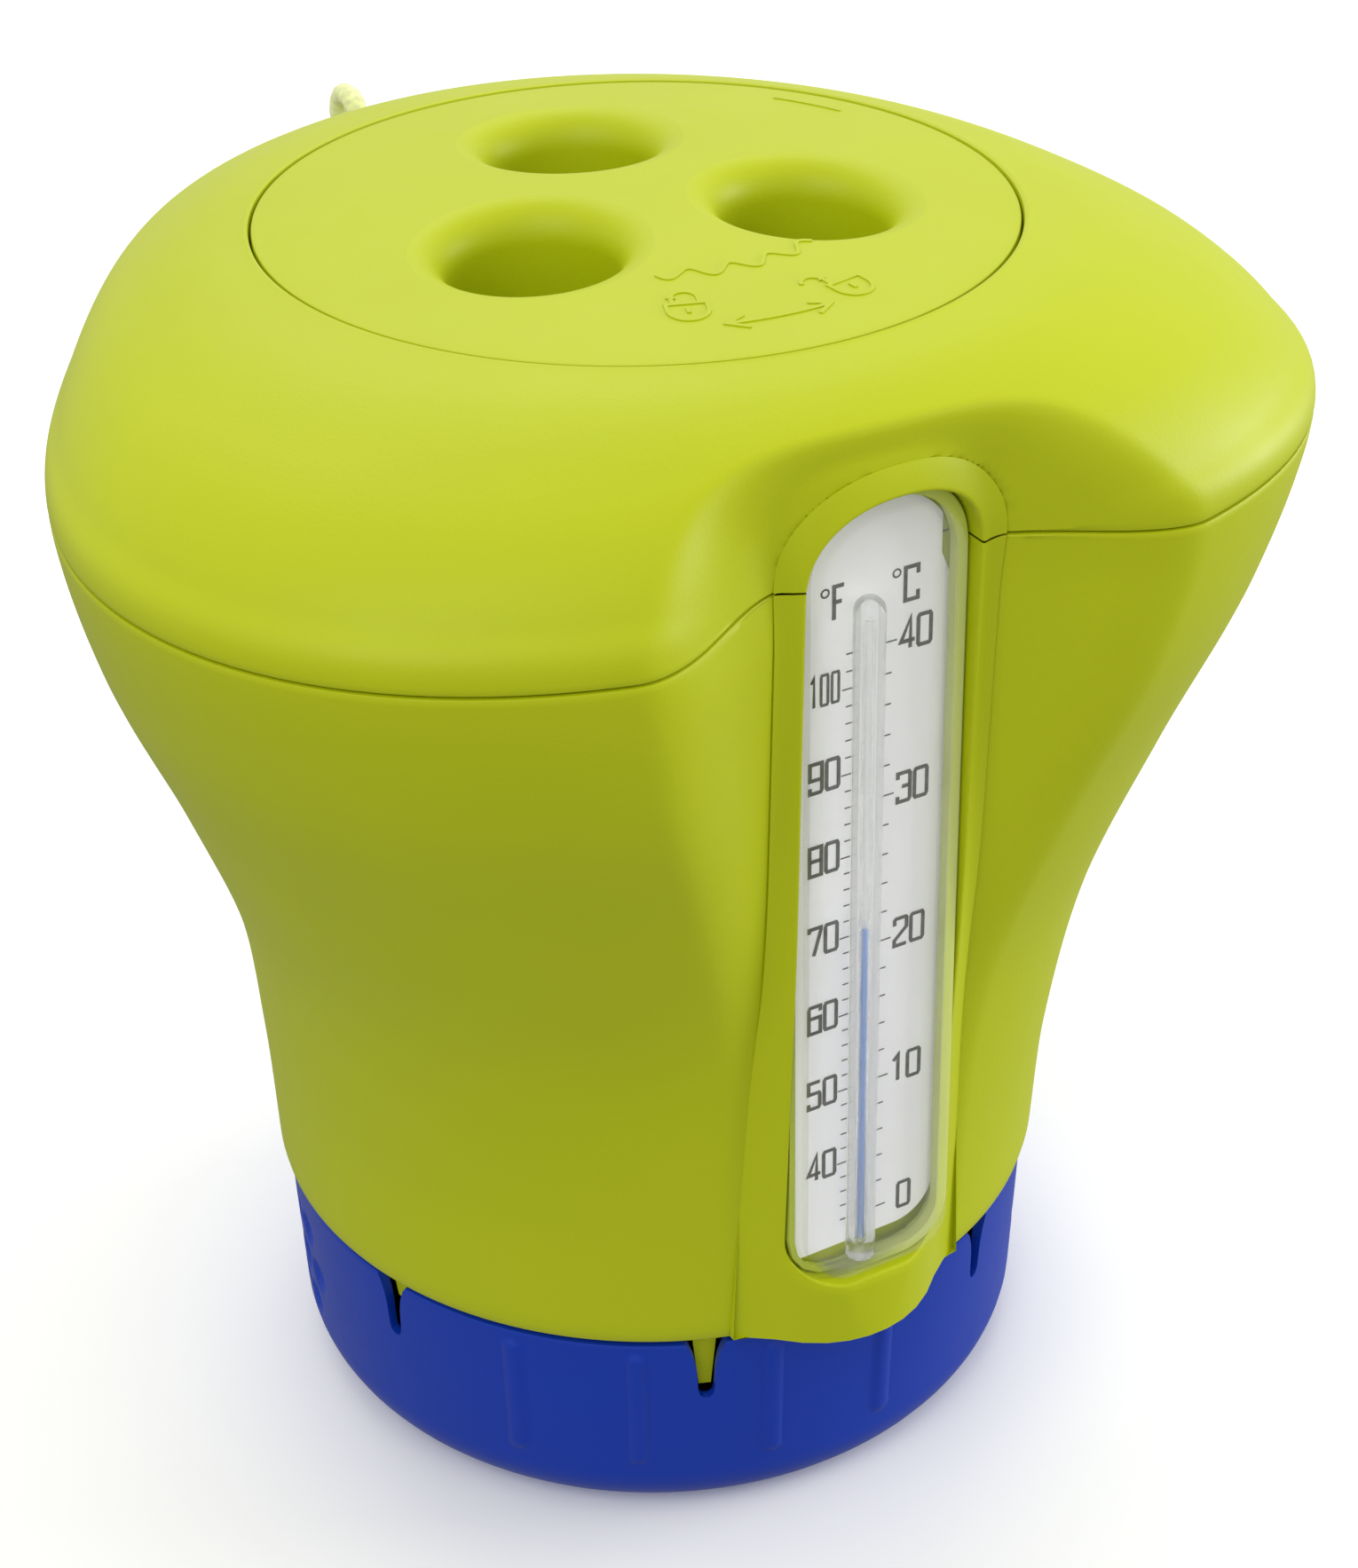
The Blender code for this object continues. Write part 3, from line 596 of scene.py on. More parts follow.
def lip(radius, side):
    """Points that round a shell's edge into the seam; its side is 1 above and -1 below."""
    return [
        (radius - 0.04, SEAM + side * (GAP / 2 + 0.35)),
        (radius - 0.16, SEAM + side * (GAP / 2 + 0.1)),
        (radius - 0.5, SEAM + side * GAP / 2),
        (radius - WALL, SEAM + side * GAP / 2),
    ]


def shell_outer(first, last, azimuth, count=60):
    """The shell's outer run between two places along the stations."""
    step = (last - first) / count
    return [shell_point(first + step * index, azimuth) for index in range(count + 1)]


def inward(outer):
    """The same run of points moved in by the wall."""
    inner = []
    for index, (radius, z) in enumerate(outer):
        before = outer[max(index - 1, 0)]
        after = outer[min(index + 1, len(outer) - 1)]
        along = Vector((after[0] - before[0], after[1] - before[1])).normalized()
        inner.append((radius - WALL * along.y, z + WALL * along.x))
    return inner


def lower_section(azimuth):
    outer = shell_outer(0, shell_position(azimuth, SEAM), azimuth)
    inner = inward(outer)[-7:14:-8]
    foot = [(FOOT_R - 0.7, BODY_BOTTOM), (FOOT_R - 0.25, BODY_BOTTOM + 0.12)]
    foot += [(FOOT_R - 0.02, BODY_BOTTOM + 0.5)]
    run = [(FLOOR_EDGE_R, FLOOR_TOP), (FLOOR_EDGE_R, BODY_BOTTOM), *foot, *outer[1:-1]]
    run += [*lip(outer[-1][0], -1), *inner]
    floor = [(FLOOR_HOLE_R, FLOOR_TOP), (FLOOR_HOLE_R, FLOOR_BOTTOM)]
    return [(sunk(radius, azimuth, z), z) for radius, z in run] + floor


def upper_section(azimuth):
    outer = shell_outer(shell_position(azimuth, SEAM), len(STATIONS) - 1, azimuth)
    inner = inward(outer)[-17:0:-9]
    edge_r = MOUTH_R - 0.12
    mouth = [(edge_r + 0.5, BODY_TOP - 0.06), (edge_r + 0.12, BODY_TOP - 0.2)]
    mouth += [(edge_r, BODY_TOP - 0.45), (MOUTH_R, COLLAR_BOTTOM), (COLLAR_R, COLLAR_BOTTOM)]
    mouth.append((COLLAR_R, BODY_TOP - 3.0))
    run = [*lip(outer[0][0], 1)[::-1], *outer[1:-1], *mouth, *inner]
    return [(sunk(radius, azimuth, z), z) for radius, z in run]


def skinned(name, section, material):
    """A ring whose section depends on the azimuth."""
    columns = [(azimuth, section(azimuth)) for azimuth in shell_azimuths()]
    points = [place(radius, azimuth, z) for azimuth, outline in columns for radius, z in outline]
    return add_mesh(name, points, grid_faces(len(columns), len(columns[0][1])), material)


def window_outline(half, bottom, top, corner, arc_steps=24):
    """A tall window: a squarish arch above, rounded corners below, going round from the right."""
    straight = top - ARCH_RISE * half - bottom - corner
    points = [(half, bottom + corner + straight * s / 30) for s in range(30)]
    for step in range(2 * arc_steps + 1):
        angle = math.pi * step / (2 * arc_steps)
        across = math.cos(angle)
        up = abs(math.sin(angle))
        reach = half / rounded_distance(across, up)
        points.append((reach * across, top - ARCH_RISE * (half - reach * up)))
    left = [(-half, bottom + corner + straight * s / 30) for s in range(30)]
    points += left[:0:-1]
    for centre_x, start in ((-half + corner, 180.0), (half - corner, 270.0)):
        points += arc((centre_x, bottom + corner), corner, start, start + 90.0, arc_steps // 2)
    return points[:-1]


def leaned(x, n, z):
    """A point on the panel's own axes, leaned back with it."""
    out = n - PANEL_N
    up = z - LEAN_HEIGHT
    y = -(PANEL_N + out * math.cos(LEAN) - up * math.sin(LEAN))
    return Vector((x, y, LEAN_HEIGHT + out * math.sin(LEAN) + up * math.cos(LEAN)))


def housing_foot(x, z):
    """The point of the housing's foot that lies outward of this point of the pocket's edge."""
    reach = housing_half(z) * FOOT_SHARE
    if z > HOUSING_SPRING:
        away = rounded_distance(x, (z - HOUSING_SPRING) / ARCH_RISE)
        return x / away * reach, HOUSING_SPRING + (z - HOUSING_SPRING) / away * reach
    return math.copysign(reach, x), z


def chin_foot(share):
    """A point of the chin's outline, from the left side down and round to the right side."""
    corner_z = POCKET_BOTTOM + POCKET_CORNER
    reach = housing_half(BODY_BOTTOM) * FOOT_SHARE
    down = corner_z - BODY_BOTTOM
    total = 2 * down + 2 * reach
    run = share * total
    if run < down:
        return -housing_half(corner_z - run) * FOOT_SHARE, corner_z - run
    if run < down + 2 * reach:
        return run - down - reach, BODY_BOTTOM
    z = BODY_BOTTOM + run - down - 2 * reach
    return housing_half(z) * FOOT_SHARE, z


def on_housing(x, z):
    """The panel-normal distance of the housing's surface at this x and height."""
    radius = 65.0
    for _ in range(4):
        azimuth = math.degrees(math.asin(x / radius))
        radius = housing_radius(azimuth, z)
    return math.sqrt(radius * radius - x * x)


def make_housing(material):
    """The frame round the pocket: mesh lines run out from the pocket's edge to the foot."""
    inner = window_outline(POCKET_HALF, POCKET_BOTTOM, POCKET_TOP, POCKET_CORNER)
    corner_z = POCKET_BOTTOM + POCKET_CORNER
    low = [index for index, (x, z) in enumerate(inner) if z < corner_z + 0.01 and index > 40]
    points = []
    for index, (x, z) in enumerate(inner):
        if index in low:
            foot_x, foot_z = chin_foot((index - low[0]) / len(low))
        else:
            foot_x, foot_z = housing_foot(x, z)
        span = math.hypot(foot_x - x, foot_z - z)
        edge = on_housing(x, z)
        points.append((x, -(POCKET_FLOOR + 0.1), z))
        points.append((x, -(edge - HOUSING_EDGE), z))
        run = []
        for turn in (25.0, 50.0, 75.0):
            away = HOUSING_EDGE * (1 - math.cos(math.radians(turn))) / span
            run.append((away, HOUSING_EDGE * (1 - math.sin(math.radians(turn)))))
        run += [(away, 0.0) for away in HOUSING_ROWS]
        for away, below in run:
            here_x = x + (foot_x - x) * away
            here_z = z + (foot_z - z) * away
            points.append((here_x, below - on_housing(here_x, here_z), here_z))
        points.append((foot_x, -HOUSING_BACK_R, foot_z))
    rows = len(points) // len(inner)
    return add_mesh("housing", points, grid_faces(len(inner), rows), material)


def keep_side(obj, above):
    """Cuts the mesh at the seam and keeps what is above it, or what is below."""
    work = bmesh.new()
    work.from_mesh(obj.data)
    side = 1 if above else -1
    bmesh.ops.bisect_plane(
        work,
        geom=work.verts[:] + work.edges[:] + work.faces[:],
        plane_co=Vector((0.0, 0.0, SEAM + side * GAP / 2)) * MM,
        plane_no=(0.0, 0.0, side),
        clear_inner=True,
    )
    work.to_mesh(obj.data)
    work.free()


def make_pocket_floor(material):
    """The back of the pocket, which shows round the card: rings that shrink to a middle face."""
    outline = window_outline(POCKET_HALF, POCKET_BOTTOM, POCKET_TOP, POCKET_CORNER)
    scales = (1.0, 0.8, 0.5)
    points = []
    for scale in scales:
        for x, z in outline:
            height = LEAN_HEIGHT + (z - LEAN_HEIGHT) * scale
            points.append((x * scale, -(POCKET_FLOOR + 0.1), height))
    count = len(outline)
    faces = grid_faces(len(scales), count, closed_columns=False, closed_rows=True)
    faces.append(tuple(range(len(points) - count, len(points))))
    return add_mesh("pocket_floor", points, faces, material)


def make_shells(materials):
    lime = materials["lime"]
    lower = skinned("lower_shell_skin", lower_section, lime)
    upper = skinned("upper_shell_skin", upper_section, lime)
    for skin, above, name in ((lower, False, "lower_shell"), (upper, True, "upper_shell")):
        frame_piece = make_housing(lime)
        keep_side(frame_piece, above)
        floor_piece = make_pocket_floor(lime)
        keep_side(floor_piece, above)
        shell = join(name + "_skin", [skin, frame_piece, floor_piece])
        show(shell, "float_body", "lime_plastic", name)
    make_eye(lime)


def make_eye(material):
    """The moulded eye on the rear lobe that the tether is tied to."""
    rim = [(0.0, 1.1), (3.5, 1.1), (3.8, 0.8), (3.8, -0.8), (3.5, -1.1), (0.0, -1.1)]
    eye = turned("tether_eye", rim, material, steps=48)
    corners = [(-3.5, EYE_Y), (3.5, EYE_Y), (3.5, 86.5), (-3.5, 86.5)]
    points = [(x, y - EYE_Y, z) for z in (-1.05, 1.05) for x, y in corners]
    faces = [(0, 1, 2, 3), (7, 6, 5, 4), (0, 4, 5, 1), (1, 5, 6, 2), (2, 6, 7, 3), (3, 7, 4, 0)]
    boolean(eye, add_mesh("eye_root", points, faces, material), "UNION")
    bore = [(0.0, 2.0), (3.3, 2.0), (2.55, 0.5), (2.55, -0.5), (3.3, -2.0), (0.0, -2.0)]
    boolean(eye, turned("eye_bore", bore, material, steps=48))
    resharpen(eye)
    eye.location = Vector((0.0, EYE_Y, EYE_Z)) * MM
    show(eye, "float_body", "lime_plastic")


def cap_height(radius):
    """The height of the crowned cap's top at this distance from the axis."""
    return CAP_TOP + CAP_CROWN * (1.0 - (radius / CAP_R) ** 2)


def stand_on_cap(piece, azimuth):
    """Stands a piece made about Z square on the cap's top, at a well's place."""
    slope = math.atan(2.0 * CAP_CROWN * WELL_CIRCLE_R / CAP_R**2)
    outward = place(1.0, azimuth, 0.0)
    axis = Vector((-outward.y, outward.x, 0.0))
    piece.rotation_euler = Matrix.Rotation(slope, 3, axis).to_euler()
    piece.location = place(WELL_CIRCLE_R, azimuth, cap_height(WELL_CIRCLE_R)) * MM


def cup_outline():
    """The outside of a well, below the cap's plate."""
    outer_r = WELL_R + WELL_WALL
    bottom = -(WELL_DEPTH + 1.6)
    outline = [(0.0, -1.3), (outer_r, -1.3), (outer_r, bottom + 1.5)]
    return outline + [(outer_r - 1.5, bottom), (0.0, bottom)]


def bore_outline():
    """The inside of a well: a wide round mouth, a slight taper and a rounded bottom."""
    outline = [(0.0, 3.0), (WELL_R + WELL_FILLET, 3.0)]
    outline += arc((WELL_R + WELL_FILLET, -0.28 - WELL_FILLET), WELL_FILLET, 90.0, 180.0, 12)
    outline += [(WELL_R - 0.3, -14.0), (WELL_R - 0.6, 2.0 - WELL_DEPTH)]
    outline += [(WELL_R - 1.2, 0.6 - WELL_DEPTH), (WELL_R - 2.6, -WELL_DEPTH)]
    return [*outline, (0.0, -WELL_DEPTH)]


def make_cap(materials):
    lime = materials["lime"]
    edge = [(3.0 * step, cap_height(3.0 * step)) for step in range(17)]
    edge += [(CAP_R - 0.45, CAP_TOP + 0.04), (CAP_R - 0.05, CAP_TOP - 0.1)]
    groove_bottom, groove_top = SEAL_GROOVE_HEIGHTS
    edge += [(CAP_R + 0.07, CAP_TOP - 0.35), (CAP_R, groove_top), (SEAL_GROOVE_R, groove_top)]
    edge += [(SEAL_GROOVE_R, groove_bottom), (CAP_R, groove_bottom), (CAP_R, CAP_SKIRT_BOTTOM)]
    edge += [(CAP_SKIRT_R, CAP_SKIRT_BOTTOM), (CAP_SKIRT_R, CAP_TOP - CAP_PLATE)]
    edge += [(8.0 * step, cap_height(8.0 * step) - CAP_PLATE) for step in range(5, -1, -1)]
    cap = turned("cap_top_skin", edge, lime, steps=192)
    for index in range(WELLS):
        azimuth = WELL_AZIMUTH + 360.0 / WELLS * index
        cup = turned(f"cup_{index}", cup_outline(), lime, 96)
        stand_on_cap(cup, azimuth)
        boolean(cap, cup, "UNION")
        bore = turned(f"bore_{index}", bore_outline(), lime, 96)
        stand_on_cap(bore, azimuth)
        boolean(cap, bore)
    resharpen(cap, 35.0)
    cap.modifiers.new("weighted_normals", "WEIGHTED_NORMAL").keep_sharp = True
    show(cap, "cap", "lime_plastic", "cap_top")
    make_icons(lime)


def ribbon(points, width, closed=False):
    """The two edges of a stroke of this width along 2-D points, with mitred corners."""
    path = [Vector(point) for point in points]
    last = len(path) - 1
    edges = []
    for index, here in enumerate(path):
        incoming = (here - path[index - 1]).normalized()
        outgoing = (path[index + 1 if index < last else 0] - here).normalized()
        if not closed and index == 0:
            incoming = outgoing
        if not closed and index == last:
            outgoing = incoming
        middle = (incoming + outgoing).normalized()
        reach = width / 2 / max(middle.dot(incoming), 0.4)
        across = Vector((-middle.y, middle.x)) * reach
        edges.append((here + across, here - across))
    return edges


def strokes_mesh(name, strokes, width, to_space, material, thick=0.0):
    """Flat or raised strokes: each is (points, closed) in 2-D, carried to space by to_space."""
    points = []
    faces = []
    for stroke, closed in strokes:
        edges = ribbon(stroke, width, closed)
        first = len(points)
        for left, right in edges:
            points += [to_space(left, thick), to_space(right, thick)]
            if thick:
                points += [to_space(right, 0.0), to_space(left, 0.0)]
        if thick and not closed:
            own = capped_faces(len(edges), 4)
        else:
            own = grid_faces(len(edges), 4 if thick else 2, closed, bool(thick))
        faces += [tuple(first + corner for corner in face) for face in own]
    return add_mesh(name, points, faces, material, smooth=30.0)


def padlock(open_shackle):
    """A padlock icon in its own axes, 6 wide."""
    body = arc((0.0, 0.0), 2.6, -180.0, 0.0, 12) + [(2.6, 1.6), (-2.6, 1.6)]
    if open_shackle:
        shackle = [(2.0, 1.6), (2.0, 3.2)] + arc((3.6, 3.2), 1.6, 180.0, 20.0, 8)
    else:
        shackle = [(1.7, 1.6), (1.7, 3.0)] + arc((0.0, 3.0), 1.7, 0.0, 180.0, 8)
        shackle.append((-1.7, 1.6))
    keyhole = [(0.0, -0.8), (0.0, 0.4)]
    return [(body, True), (shackle, False), (keyhole, False)]


def placed_strokes(strokes, azimuth, radius):
    """Icons stand on the cap so that they read from behind the dispenser."""
    outward = place(1.0, azimuth, 0.0).xy
    sideways = Vector((-outward.y, outward.x))
    moved = []
    for stroke, closed in strokes:
        points = [tuple(outward * (radius - y) - sideways * x) for x, y in stroke]
        moved.append((points, closed))
    return moved


def make_icons(material):
    """Lock, unlock and a turning arrow moulded on the cap, a plain wave, and a short bar."""
    strokes = placed_strokes(padlock(False), -19.4, 38.6)
    strokes += placed_strokes(padlock(True), 12.5, 40.7)
    strokes.append(([place(ICON_R, azimuth, 0.0).xy for azimuth in range(-14, 6)], False))
    for azimuth, way in ((-14.0, 1.0), (5.0, -1.0)):
        tip = place(ICON_R, azimuth, 0.0)
        barb = [place(ICON_R + out, azimuth + way * 3.4, 0.0) for out in (-1.5, 1.5)]
        strokes.append(([barb[0].xy, tip.xy, barb[1].xy], False))
    wave = []
    for step in range(97):
        radius = WAVE_R + 1.2 * math.sin(math.radians(step * 15))
        wave.append(place(radius, -24.0 + 46.0 * step / 96, 0.0).xy)
    strokes.append((wave, False))
    strokes.append(([place(45.5, azimuth, 0.0).xy for azimuth in range(111, 126)], False))

    def on_cap(point, rise):
        return (point[0], point[1], cap_height(math.hypot(*point)) - 0.05 + rise)

    icons = strokes_mesh("cap_icons", strokes, 0.55, on_cap, material, thick=0.22)
    show(icons, "cap", "lime_plastic")


def base_radius(z):
    """The base's wall, a little wider at its top."""
    share = (z - BASE_FILLET) / (BASE_TOP_Z - BASE_FILLET)
    return BASE_LOW_R + (BASE_TOP_R - BASE_LOW_R) * share


def rib_height(angle, z):
    """How far the ribs raise the base's wall here."""
    height = 0.0
    rib_bottom, rib_top = RIB_HEIGHTS
    past_end = max(rib_bottom - z, z - rib_top, 0.0)
    for rib in RIB_ANGLES:
        across = math.radians(signed(angle - rib)) * BASE_LOW_R
        away = math.hypot(across, past_end) / RIB_HALF_WIDTH
        if away < 1.0:
            height = max(height, RIB_RISE * math.sqrt(1.0 - away * away))
    return height


def dimple_depth(angle, z):
    """Finger dimples in diamond rows on two sides of the base."""
    depth = 0.0
    for side in (-90.0, 90.0):
        local = math.radians(signed(angle - side)) * BASE_LOW_R
        for row, height in enumerate(DIMPLE_ROWS):
            for column in range(-3, 4):
                centre = (column + 0.5 * (row % 2)) * DIMPLE_PITCH
                if abs(centre) > DIMPLE_REACH:
                    continue
                away = math.hypot(local - centre, z - height) / DIMPLE_R
                if away < 1.0:
                    depth = max(depth, (1.0 - away * away) ** 0.8)
    return depth


def make_base(materials):
    steps = 720
    wall_rows = [BASE_FILLET + (BASE_TOP_Z - 0.5 - BASE_FILLET) * row / 52 for row in range(53)]
    fillet = arc((BASE_LOW_R - BASE_FILLET, BASE_FILLET), BASE_FILLET, -90.0, -7.5, 11)
    points = []
    for step in range(steps):
        azimuth = 360.0 * step / steps
        angle = signed(azimuth - BASE_AZIMUTH)
        column = [(0.0, 0.0), (20.0, 0.0), (40.0, 0.0), *fillet]
        for z in wall_rows:
            radius = base_radius(z) + rib_height(angle, z) - dimple_depth(angle, z)
            column.append((radius, z))
        column += [(BASE_TOP_R - 0.15, BASE_TOP_Z - 0.15), (BASE_TOP_R - 0.5, BASE_TOP_Z)]
        column += [(56.6, BASE_TOP_Z), (56.4, BASE_TOP_Z - 0.2), (56.4, 22.0), (55.0, 19.0)]
        column += [(54.6, 9.0), (51.8, 3.0), (50.4, 3.0), (50.4, 11.0), (48.6, 11.0)]
        column += [(48.6, 3.0), (0.0, 3.0)]
        points += [place(radius, azimuth, z) for radius, z in column]
    faces = grid_faces(steps, len(points) // steps)
    base = add_mesh("base_cup_skin", points, faces, materials["blue"])
    merge_close(base)
    for index, angle in enumerate(SLOT_ANGLES):
        cutter = slot_cutter(f"slot_{index}", materials["blue"])
        cutter.rotation_euler.z = math.radians(BASE_AZIMUTH + angle)
        bpy.context.view_layer.update()
        boolean(base, cutter)
    resharpen(base, 32.0)
    show(base, "base", "blue_plastic", "base_cup")


def slot_cutter(name, material):
    """A funnel slot in the base's rim."""
    right = [(0.95, 25.0), (1.2, 26.0), (1.4, 30.0), (1.75, 32.2), (2.4, 34.2), (3.2, 35.6)]
    outline = right + [(3.4, 37.0), (-3.4, 37.0)]
    outline += [(-x, z) for x, z in reversed(right)] + [(-0.4, 24.5), (0.4, 24.5)]
    points = [(x, y, z) for y in (-52.0, -62.0) for x, z in outline]
    return add_mesh(name, points, capped_faces(2, len(outline)), material)


# Letters and figures, each 1 wide and 2 tall: strokes of (points, closed)
GLYPHS = {
    "0": [
        ([(0.1, 0), (0.9, 0), (1, 0.15), (1, 1.85), (0.9, 2), (0.1, 2), (0, 1.85), (0, 0.15)], True)
    ],
    "1": [([(0.15, 1.62), (0.55, 2.0), (0.55, 0.0)], False)],
    "2": [
        (
            [(0, 1.5), (0, 1.9), (0.1, 2), (0.9, 2), (1, 1.9), (1, 1.25), (0, 0.4), (0, 0), (1, 0)],
            False,
        )
    ],
    "3": [
        ([(0, 1.6), (0, 2), (0.9, 2), (1, 1.85), (1, 0.15), (0.9, 0), (0, 0), (0, 0.4)], False),
        ([(0.35, 1.05), (1, 1.05)], False),
    ],
    "4": [([(0.75, 0), (0.75, 2.0), (0, 0.5), (1.1, 0.5)], False)],
    "5": [
        (
            [(1, 2), (0, 2), (0, 1.15), (0.9, 1.15), (1, 1), (1, 0.15), (0.9, 0), (0, 0), (0, 0.4)],
            False,
        )
    ],
    "6": [([(1, 1.6), (1, 2), (0.1, 2), (0, 1.85), (0, 0), (1, 0), (1, 1.15), (0, 1.15)], False)],
    "7": [([(0, 1.7), (0, 2), (1, 2), (1, 1.8), (0.4, 0)], False)],
    "8": [
        ([(0, 0), (1, 0), (1, 2), (0, 2)], True),
        ([(0, 1.05), (1, 1.05)], False),
    ],
    "9": [([(0, 0.4), (0, 0), (0.9, 0), (1, 0.15), (1, 2), (0, 2), (0, 0.9), (1, 0.9)], False)],
    "F": [([(0, 0), (0, 2), (0.95, 2)], False), ([(0, 1.05), (0.75, 1.05)], False)],
    "C": [([(1, 1.5), (1, 2), (0, 2), (0, 0), (1, 0), (1, 0.5)], False)],
}


def text_strokes(text, left, bottom, width, height=FIGURE_HEIGHT, gap=FIGURE_GAP):
    """Squared condensed figures, each width across and height tall."""
    strokes = []
    for index, letter in enumerate(text):
        start = left + index * (width + gap)
        for points, closed in GLYPHS[letter]:
            moved = [(start + x * width, bottom + y * height / 2) for x, y in points]
            strokes.append((moved, closed))
    return strokes


def scale_z(fahrenheit):
    return FREEZING_Z + DEGREE_F * (fahrenheit - 32.0)


def make_ticks():
    """Fahrenheit ticks on the left, Celsius ticks on the right, every tenth one longer."""
    ticks = []
    for degrees in range(32, 106, 2):
        start = -4.6 if degrees % 10 == 0 else -4.05
        ticks.append(([(start, scale_z(degrees)), (-2.1, scale_z(degrees))], False))
    for degrees in range(0, 42, 2):
        z = scale_z(32.0 + 1.8 * degrees)
        end = 3.5 if degrees % 10 == 0 else 2.8
        ticks.append(([(1.5, z), (end, z)], False))
    return ticks


def make_figures():
    """The numbers beside both scales, and the letters above them."""
    figures = []
    for degrees in range(40, 91, 10):
        figures += text_strokes(str(degrees), -9.3, scale_z(degrees) - 1.3, 1.8)
    for degrees in range(0, 41, 10):
        left = 4.1 if degrees else 5.6
        figures += text_strokes(str(degrees), left, scale_z(32.0 + 1.8 * degrees) - 1.7, 1.9)
    figures += text_strokes("F", -5.9, 151.6, 1.5, 4.6)
    return figures + text_strokes("C", 4.6, 151.4, 1.9, 4.6)


def make_print(materials):
    def on_card(point, rise):
        return leaned(point[0], CARD_FACE + PRINT_RISE + rise, point[1])

    hundred = text_strokes("100", -9.3, scale_z(100) - 1.3, 1.0, gap=0.6)
    rings = [(arc((x, 155.6), 0.55, 0.0, 330.0, 12), True) for x in (-7.2, 3.3)]
    for name, strokes, width in (
        ("card_ticks", make_ticks(), 0.22),
        ("card_figures", make_figures(), 0.58),
        ("card_hundred", hundred, 0.42),
        ("card_rings", rings, 0.26),
    ):
        printed = strokes_mesh(name, strokes, width, on_card, materials["ink"])
        show(printed, "float_body", "printed_card")


def window_surface(name, rings, material, capped=True):
    """A closed moulding from rings of (inset, normal): each ring is the window moved in."""
    points = []
    for inset, normal in rings:
        bottom, top = POCKET_BOTTOM + inset, POCKET_TOP - inset
        outline = window_outline(POCKET_HALF - inset, bottom, top, max(POCKET_CORNER - inset, 0.6))
        points += [leaned(x, normal, z) for x, z in outline]
    size = (len(rings), len(points) // len(rings))
    faces = capped_faces(*size) if capped else grid_faces(*size, True, True)
    return add_mesh(name, points, faces, material, smooth=50.0)


def make_lens(materials):
    """The raised clear window, and the flange round it, whose right side is painted a light lime
    for the lit seal below.
    """
    rings = [(3.6, LENS_FRONT - 1.0), (3.3, LENS_FRONT - 1.2), (3.1, LENS_FRONT - 1.6)]
    rings += [(3.0, LENS_BACK + 0.3), (2.8, LENS_BACK), (2.12, LENS_BACK)]
    rings += [(2.15, LENS_FLANGE + 0.1), (2.25, LENS_FRONT - 0.9), (2.45, LENS_FRONT - 0.4)]
    rings += [(2.8, LENS_FRONT - 0.12), (3.4, LENS_FRONT)]
    lens = window_surface("lens_clear", rings, materials["lens"])
    resharpen(lens, 50.0)
    show(lens, "float_body", "clear_lens", "lens")
    rim = [(2.1, LENS_BACK), (GAP, LENS_BACK), (GAP, LENS_FLANGE - 0.3)]
    rim += [(GAP + 0.1, LENS_FLANGE - 0.1), (GAP + 0.3, LENS_FLANGE), (2.1, LENS_FLANGE)]
    flange = window_surface("lens_flange", rim, materials["lens_rim_painted_light"], capped=False)
    show(flange, "float_body", "clear_lens")


def make_card(materials):
    """The card, square at its lower left corner and narrower above a notch on the right."""
    outline = []
    for x, z in window_outline(CARD_HALF, CARD_BOTTOM, CARD_TOP, CARD_CORNER):
        if x < 0 and z < CARD_BOTTOM + CARD_CORNER:
            x, z = -CARD_HALF, CARD_BOTTOM
        outline.append((min(x, CARD_HALF - NOTCH_WIDTH) if z > NOTCH_Z else x, z))
    unique = [point for index, point in enumerate(outline) if point != outline[index - 1]]
    points = [leaned(x, n, z) for n in (POCKET_FLOOR + GAP, CARD_FACE) for x, z in unique]
    faces = capped_faces(2, len(unique))
    card = add_mesh("card_face", points, faces, materials["card"], smooth=30.0)
    show(card, "float_body", "printed_card", "thermometer_card")


def make_tube(materials):
    """The glass tube with its bore, and the thread of spirit in it."""
    outline = [(0.0, TUBE_TOP), *arc((0.0, TUBE_TOP - TUBE_R), TUBE_R, 80.0, 0.0, 8)]
    outline += [(TUBE_R, TUBE_TOP - 30.0), (TUBE_R, TUBE_BOTTOM + 0.3)]
    outline += [(TUBE_R - 0.3, TUBE_BOTTOM), (0.0, TUBE_BOTTOM)]
    bore = [(0.0, TUBE_TOP - 3.0), (TUBE_BORE_R * 0.7, TUBE_TOP - 3.2)]
    bore += [(TUBE_BORE_R, TUBE_TOP - 4.0), (TUBE_BORE_R, TUBE_BOTTOM + 3.0)]
    bore += [(0.0, TUBE_BOTTOM + 2.0)]
    tube = turned("glass_tube_clear", outline, materials["glass"], 64)
    hollow = turned("glass_tube_bore", bore, materials["glass"], 24)
    hollow.data.flip_normals()
    tube = join("glass_tube_clear", [tube, hollow])
    top = scale_z(READING_F)
    thread_r = TUBE_BORE_R - 0.12
    column = [(0.0, top), (thread_r, top - 0.2), (thread_r, TUBE_BOTTOM + 3.4)]
    spirit = turned("spirit_thread", [*column, (0.0, TUBE_BOTTOM + 3.0)], materials["spirit"], 24)
    for piece in (tube, spirit):
        piece.rotation_euler.x = -LEAN
        piece.location = leaned(TUBE_AXIS_X, TUBE_AXIS_N, 0.0) * MM
    show(tube, "float_body", "tube_glass", "glass_tube")
    show(spirit, "float_body", "spirit", "spirit_column")


